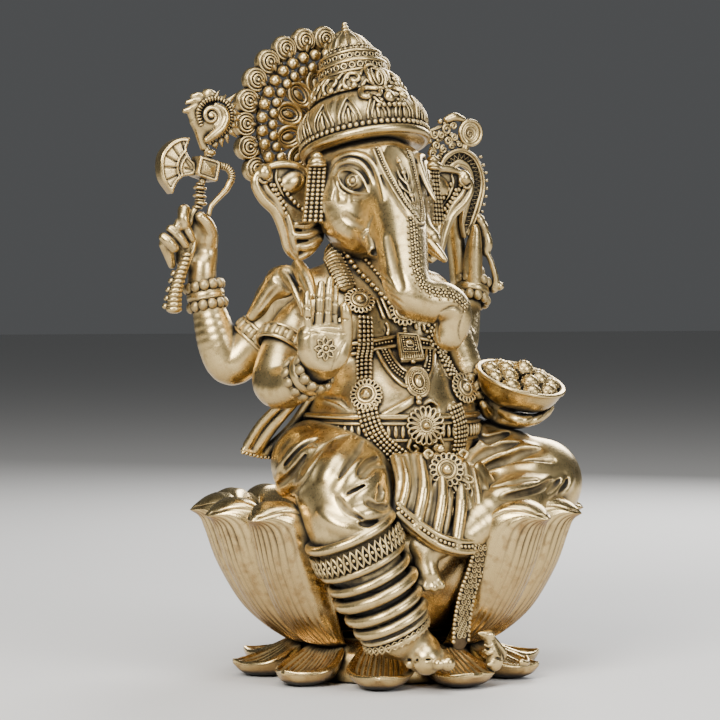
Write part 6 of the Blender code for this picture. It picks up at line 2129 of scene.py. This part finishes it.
def build_conch():
    """Conch on top of the axe: a spiral with a beaded lip, saw teeth and swollen lobes."""
    face = 22.6
    clay = Clay()
    middle = at_depth(((-59.6, 98.9),), face)[0]
    clay.add(Egg(middle + vec(0, 2.6, 0), (7.4, 3.6, 7.6)))
    clay.add(Limb(spine(((-65.7, 95.4), (-65.3, 91.6), (-64.2, 87.4)), (25.4, 25.6, 25.8),
                        (2.2, 2.0, 1.7))), 1.5)
    clay.add(Limb(spine(((-67.8, 98.3), (-65.7, 95.0), (-64.4, 91.6)), (26, 26, 26), (2.4, 2.6, 2.0))), 1.5)
    for spots in (((-72.1, 102.4), (-69.7, 103.1), (-67.4, 104.1)), ((-71.0, 105.8), (-68.4, 106.5),
                                                                     (-66.1, 106.7)), ((-68.9, 108.4),
                                                                                       (-66.9, 108.8),
                                                                                       (-65.2, 108.7)),
                  ((-63.6, 110.4), (-62.2, 110.1), (-60.9, 109.2))):
        clay.add(Limb(spine(spots, (26, 25, 24.4), (1.0, 1.35, 1.2))), 0.5)
    clay.add(Limb(spine(((-68.6, 101.2), (-66.9, 104.6), (-64.4, 107.1), (-61.1, 108.4)), (26,) * 4, 2.4)),
             1.2)
    turns = np.linspace(0, 1.75 * 2 * np.pi, 52)
    share = turns / turns[-1]
    heart = at_depth(((-61.0, 100.3),), face - 1.2)[0]
    reach = 0.8 + 3.4 * share ** 1.1
    sweep = turns + math.radians(150)
    coil = heart + np.outer(reach * np.cos(sweep), (1, 0, 0)) + np.outer(reach * np.sin(-sweep), (0, 0, 1))
    coil += np.outer(0.5 * share, (0, 1, 0))
    clay.add(Limb(np.column_stack((coil, 0.45 + 0.75 * share)), 1), 0.2)
    clay.add(Limb(spine(((-59.2, 104.8), (-56.2, 102.9), (-55.2, 99.4), (-56.7, 95.6), (-59.6, 92.9),
                         (-63.0, 90.3)), (21.6,) * 6, (1.0, 1.6, 2.0, 2.1, 1.9, 1.3))), 0.3)
    clay.add(Egg(heart + vec(0, -0.2, 0), (1.0, 0.9, 1.0)), 0.2)
    clay.mesh("conch_cast", BRASS, 0.32, replaces=("conch_finial",))
    pile = Pile()
    rim = at_depth(even_path(smooth_path(((-65.3, 96.6), (-66.4, 101.2), (-65.3, 104.3), (-63.2, 106.5),
                                          (-59.2, 107.5), (-55.6, 106.2), (-53.3, 103.3), (-52.8, 99.8),
                                          (-54.1, 95.8), (-56.9, 93.1), (-59.8, 91.4), (-61.9, 89.3)), 8),
                             1.25), face - 0.4)
    for i, place in enumerate(rim):
        along = unit(rim[min(i + 1, len(rim) - 1)] - rim[max(i - 1, 0)])
        axes = np.column_stack((along, np.cross(FRONT, along), FRONT))
        pile.egg(place, (0.52, 1.25, 0.9), axes, 9, 7)
    pile.tube(rim + vec(0, 0.7, 0), 0.9, 7)
    roots = at_depth(((-59.6, 107.3), (-56.9, 107.1), (-54.4, 106.1), (-52.7, 104.1), (-51.9, 101.7),
                      (-51.8, 99.1), (-52.5, 96.6), (-53.5, 94.1), (-55.2, 92.0), (-57.3, 90.3),
                      (-59.6, 88.7)), face + 1.2)
    tips = at_depth(((-58.1, 110.4), (-55.1, 108.8), (-50.9, 109.5), (-50.8, 105.4), (-48.9, 101.0),
                     (-49.7, 98.3), (-50.0, 95.4), (-50.7, 91.6), (-54.3, 89.2), (-56.5, 87.6),
                     (-59.0, 86.9)), face + 1.2)
    for root, tip in zip(roots, tips):
        pile.tube(root + np.outer(np.linspace(0, 1, 5), tip - root), np.linspace(1.35, 0.25, 5), 8)
        pile.egg(root, (1.5, 1.2, 1.5), None, 10, 7)
    pile.done("conch_rim", BEAD_BRASS)


def curl(pile, spot, depth, radius, start, wire_radius=0.6, way=1):
    """A small filigree scroll that winds inwards."""
    middle = at_depth([spot], depth)[0]
    turns = np.linspace(0, 1.35 * 2 * np.pi, 20)
    reach = radius * (1 - 0.75 * turns / turns[-1])
    sweep = math.radians(start) + way * turns
    path = middle + np.outer(reach * np.cos(sweep), (1, 0, 0)) + np.outer(reach * np.sin(sweep), (0, 0, 1))
    pile.tube(path, wire_radius, 6)


def build_noose():
    """Noose in the far hand: an S band with rails and a zigzag, a spiral disc and filigree."""
    outer = ((33.9, 75.5), (33.0, 79.1), (35.5, 83.9), (41.4, 86.5), (46.9, 83.9), (50.0, 78.2),
             (51.0, 71.2), (49.6, 64.3), (47.2, 57.3), (44.3, 51.4))
    inner = ((43.2, 50.5), (42.1, 56.9), (43.0, 63.0), (45.1, 68.5), (45.9, 74.1), (44.6, 78.3),
             (41.0, 80.1), (38.2, 77.8), (37.8, 73.7))
    clay = Clay()
    clay.add(plate([*outer, *inner], 22.4, 3.6, 0.6))
    middle = ((35.5, 75.7), (35.7, 79.8), (38.2, 82.6), (41.6, 83.9), (45.7, 81.5), (48.0, 76.6),
              (48.4, 71.2), (47.1, 65.7), (45.0, 58.7), (43.5, 53.4))
    path = at_depth(even_path(smooth_path(middle, 8), 0.9), 22.3)
    clay.cut(drawn(path, 1.6, 0.5), 0.3)
    clay.add(Limb(spine(((37.7, 74.2), (39.8, 75.5), (42.1, 74.6), (42.8, 71.2), (40.5, 68.0), (37.1, 68.0),
                         (35.3, 71.2)), (23,) * 7, (1.9, 1.6, 1.5, 1.5, 1.9, 2.2, 2.6)), 5), 0.5)
    clay.add(Egg(at_depth(((36.8, 71.4),), 23.5)[0], (3.2, 1.7, 3.4)), 0.8)
    disc = at_depth(((45.0, 93.3),), 23.4)[0]
    clay.add(Egg(disc, (5.5, 1.9, 6.0)), 0.2)
    clay.cut(Egg(disc + vec(0, -2.2, 0), (4.1, 1.5, 4.5)), 0.4)
    clay.add(Limb(spine(((35.6, 98.8), (38.7, 99.9), (42.3, 98.7)), (23.5,) * 3, (1.5, 1.9, 1.3))), 0.6)
    clay.add(Limb(spine(((43.2, 89.0), (42.8, 86.7)), (24, 24), (2.0, 2.0))), 0.6)
    clay.mesh("noose_cast", BRASS, 0.34, replaces=("noose",))
    pile = Pile()
    for edge in (outer, inner):
        wire(pile, edge, 22.3, 0.62)
    zigzag = []
    track = even_path(smooth_path(middle, 8), 0.9)
    sideways = np.gradient(track, axis=0)[:, ::-1] * (1, -1)
    sideways /= np.maximum(np.linalg.norm(sideways, axis=1, keepdims=True), 1e-9)
    for i in range(2, len(track) - 2):
        zigzag.append(track[i] + sideways[i] * (1.25 if i % 2 else -1.25))
    pile.tube(at_depth(zigzag, 22.9), 0.36, 6)
    for place in at_depth(((49.6, 83.5), (50.7, 80.1), (51.6, 76.9), (51.9, 73.7), (51.9, 70.5),
                           (51.6, 67.3), (50.8, 63.9), (50.0, 60.9)), 23.8):
        pile.egg(place, (1.0, 0.7, 0.6), None, 8, 6)
    for radius, thick in ((5.2, 0.75), (3.0, 0.5)):
        pile.ring(disc + vec(0, -1.0, 0), FRONT, radius, thick, 8, 34)
    curl(pile, ((45.1, 92.8),)[0], 22.6, 2.3, 200, 0.5)
    for spot, radius, start, way in ((((35.7, 94.7),), 2.3, 60, 1), (((38.4, 96.2),), 1.7, 200, -1),
                                     (((36.2, 89.9),), 1.9, -40, 1),
                                     (((33.4, 92.6),), 1.6, 120, 1), (((38.7, 91.7),), 1.6, 20, -1),
                                     (((30.7, 92.6),), 1.8, 170, 1),
                                     (((31.4, 88.0),), 1.9, 250, -1), (((34.3, 86.5),), 1.7, 90, 1),
                                     (((37.8, 87.7),), 1.5, 10, 1),
                                     (((40.7, 88.6),), 1.4, 140, -1), (((29.8, 84.6),), 1.8, 30, 1),
                                     (((32.3, 83.0),), 1.6, 200, 1)):
        curl(pile, spot[0], 23.6, radius, start, 0.62, way)
    for place in at_depth(((28.9, 93.5), (28.7, 89.9), (29.5, 86.8), (31.6, 90.4), (34.8, 92.6),
                           (37.1, 92.6), (39.8, 89.9), (38.7, 85.5), (36.5, 85.0), (33.4, 84.6),
                           (31.1, 80.1), (32.9, 98.0), (34.7, 97.2), (37.8, 98.3)), 24.4):
        pile.egg(place, 1.15, None, 9, 6)
    wire(pile, ((28.0, 93.5), (32.0, 95.3), (37.8, 97.1)), 25.0, 1.0)
    wire(pile, ((28.5, 84.6), (30.7, 89.0), (35.2, 91.3), (40.5, 89.9)), 25.0, 1.0)
    pile.done("noose_filigree", BEAD_BRASS)


BOWL_FOOT = vec(43, -28, 110)
BOWL_AXIS = unit((0.10, -0.40, 1))


def build_bowl():
    shape = ((0.1, 0), (5, 0), (9, 0.4), (12.4, 1.8), (15, 4), (16.8, 7), (17.8, 10), (18.3, 11.2),
             (18.2, 12), (17.4, 12.2),
             (16.6, 11.4), (15.6, 9), (14, 6.2), (11, 4), (7, 3), (0.1, 2.8))
    points = smooth_path(shape, 3)
    make_piece("bowl_cast", *revolve(np.maximum(points, (0.1, -1)), 96, BOWL_FOOT, BOWL_AXIS), BRASS,
               ("bowl",))
    pile = Pile()
    pile.ring(BOWL_FOOT + BOWL_AXIS * 11.4, BOWL_AXIS, 18.2, 0.85, 8, 96)
    pile.done("bowl_rim", BRASS)


def build_sweets():
    """Heap of round sweets, each dotted with a pattern of small bumps."""
    pile = Pile()
    axes = axes_along(BOWL_AXIS, FRONT)
    layers = ((1, 0.0, 15.2, 0), (5, 7.4, 12.0, 18), (9, 13.0, 10.2, 4))
    count = 44
    order = np.arange(count)
    height = 1 - (order + 0.5) * 1.4 / count
    turn = order * math.pi * (3 - math.sqrt(5))
    dots = np.column_stack((np.sqrt(1 - height ** 2) * np.cos(turn),
                            np.sqrt(1 - height ** 2) * np.sin(turn), height))
    for number, reach, level, offset in layers:
        for i in range(number):
            angle = math.radians(offset + 360 * i / number)
            place = BOWL_FOOT + axes @ vec(reach * math.cos(angle), reach * math.sin(angle), level)
            pile.egg(place, 4.05, None, 22, 14)
            pile.beads(place + dots * 3.95, 0.46, 6, 4)
    pile.egg(BOWL_FOOT + BOWL_AXIS * 7.4, (14, 14, 4), axes, 24, 8)
    pile.done("sweets", BEAD_BRASS, ("laddu_heap",))


def sculpt_mouse():
    """Small mouse sitting up on a base petal, nose to the left, paws together."""
    clay = Clay()
    deep = -60.0
    clay.add(Limb(spine(((55.0, -124.6), (55.2, -121.8), (54.3, -119.1), (53.4, -116.4), (52.8, -114.3)),
                        (deep,) * 5, (3.3, 3.1, 2.7, 2.2, 1.9))))
    clay.add(Limb(spine(((53.1, -113.1), (51.4, -113.0), (49.9, -112.6), (48.9, -112.4)), (deep,) * 4,
                        (2.2, 1.8, 1.1, 0.6))), 0.5)
    clay.add(Limb(spine(((52.3, -114.5), (50.9, -114.3), (50.1, -113.8)), (deep,) * 3, (1.3, 0.9, 0.5))),
             0.3)
    for depth in (deep - 1.7, deep + 1.7):
        clay.add(Egg(at_depth(((54.4, -113.2),), depth)[0], (1.0, 0.6, 1.1)), 0.2)
        clay.add(Limb(spine(((54.2, -119.8), (52.3, -120.5), (50.8, -120.0)), (depth, depth, deep),
                            (1.2, 0.9, 0.8))), 0.3)
        clay.add(Egg(at_depth(((56.5, -123.5),), depth)[0], (2.4, 1.8, 2.5)), 0.5)
        clay.add(Limb(spine(((55.7, -124.6), (54.2, -124.9), (52.8, -125.2)), (depth,) * 3,
                            (1.2, 1.1, 0.8))), 0.4)
        clay.add(Egg(at_depth(((52.3, -112.8),), depth * 1.003)[0], (0.42, 0.42, 0.42)), 0.05)
    clay.add(Limb(spine(((55.0, -114.7), (57.1, -117.4), (58.8, -119.8), (59.1, -121.8)), (deep,) * 4,
                        (1.1, 1.2, 1.3, 1.0))), 0.6)
    clay.add(Limb(spine(((51.3, -117.1), (52.6, -117.6), (54.2, -117.1), (55.2, -116.0)), (deep - 1.6,) * 4,
                        (0.5, 0.7, 0.7, 0.5))), 0.15)
    clay.add(Limb(spine(((51.3, -119.1), (52.6, -119.8), (54.3, -118.8)), (deep - 2.0,) * 3,
                        (0.4, 0.5, 0.4))), 0.15)
    for line in (((51.1, -118.1), (52.6, -118.7), (54.5, -118.0)), ((53.1, -122.7), (54.7, -122.2),
                                                                    (57.7, -122.9), (58.8, -121.8)),
                 ((50.6, -116.0), (52.3, -116.5), (54.0, -116.0))):
        clay.cut(Limb(spine(line, (deep - 3.0,) * len(line), 0.55), 4), 0.3)
    clay.add(Limb([(26.5, -61.5, 9.4, 1.3), (29.6, -60.6, 8.6, 1.0), (32, -57.6, 9.0, 0.8),
                   (33, -54.6, 10.4, 0.6)]), 0.4)
    return clay


build_axe_blade()
build_axe_handle()
build_conch()
build_noose()
build_bowl()
build_sweets()
sculpt_mouse().mesh("mouse_cast", BRASS, 0.24, replaces=("mouse",))


# ---- camera, light and floor ----
SENSOR = 36.0


def add_camera():
    data = bpy.data.cameras.new("camera")
    data.sensor_width = SENSOR
    data.lens = 0.5 * SENSOR / math.tan(HALF_VIEW)
    data.clip_start = 0.05
    camera = bpy.data.objects.new("camera", data)
    camera.location = Vector(EYE) * MM
    camera.rotation_euler = Vector(-TOWARD).to_track_quat("-Z", "Y").to_euler()
    bpy.context.collection.objects.link(camera)
    bpy.context.scene.camera = camera


def add_area(name, place, size, power, colour=(1, 1, 1)):
    data = bpy.data.lights.new(name, "AREA")
    data.energy = power
    data.size = size
    data.color = colour
    lamp = bpy.data.objects.new(name, data)
    lamp.location = place
    lamp.rotation_euler = (Vector((0, 0, 0.12)) - Vector(place)).to_track_quat("-Z", "Y").to_euler()
    bpy.context.collection.objects.link(lamp)


def add_studio():
    bpy.ops.mesh.primitive_plane_add(size=24.0, location=(0, 0, 0))
    floor = bpy.context.object
    floor.name = "studio_floor"
    paint = bpy.data.materials.new("floor_paint")
    paint.use_nodes = True
    shader = paint.node_tree.nodes["Principled BSDF"]
    shader.inputs["Base Color"].default_value = (0.78, 0.77, 0.75, 1)
    shader.inputs["Roughness"].default_value = 0.8
    floor.data.materials.append(paint)
    world = bpy.data.worlds.new("studio")
    world.use_nodes = True
    background = world.node_tree.nodes["Background"]
    background.inputs["Color"].default_value = (0.62, 0.64, 0.66, 1)
    background.inputs["Strength"].default_value = 0.13
    bpy.context.scene.world = world
    add_area("key", (-0.95, -0.70, 0.80), 0.6, 22.0, (1.0, 0.97, 0.92))
    add_area("fill", (0.30, -1.15, 0.50), 0.4, 6.5, (0.98, 0.98, 1.0))
    add_area("rim", (0.7, 0.6, 0.6), 0.5, 10.0)
    add_area("top", (-0.15, -0.45, 1.25), 0.8, 12.0)


add_camera()
add_studio()
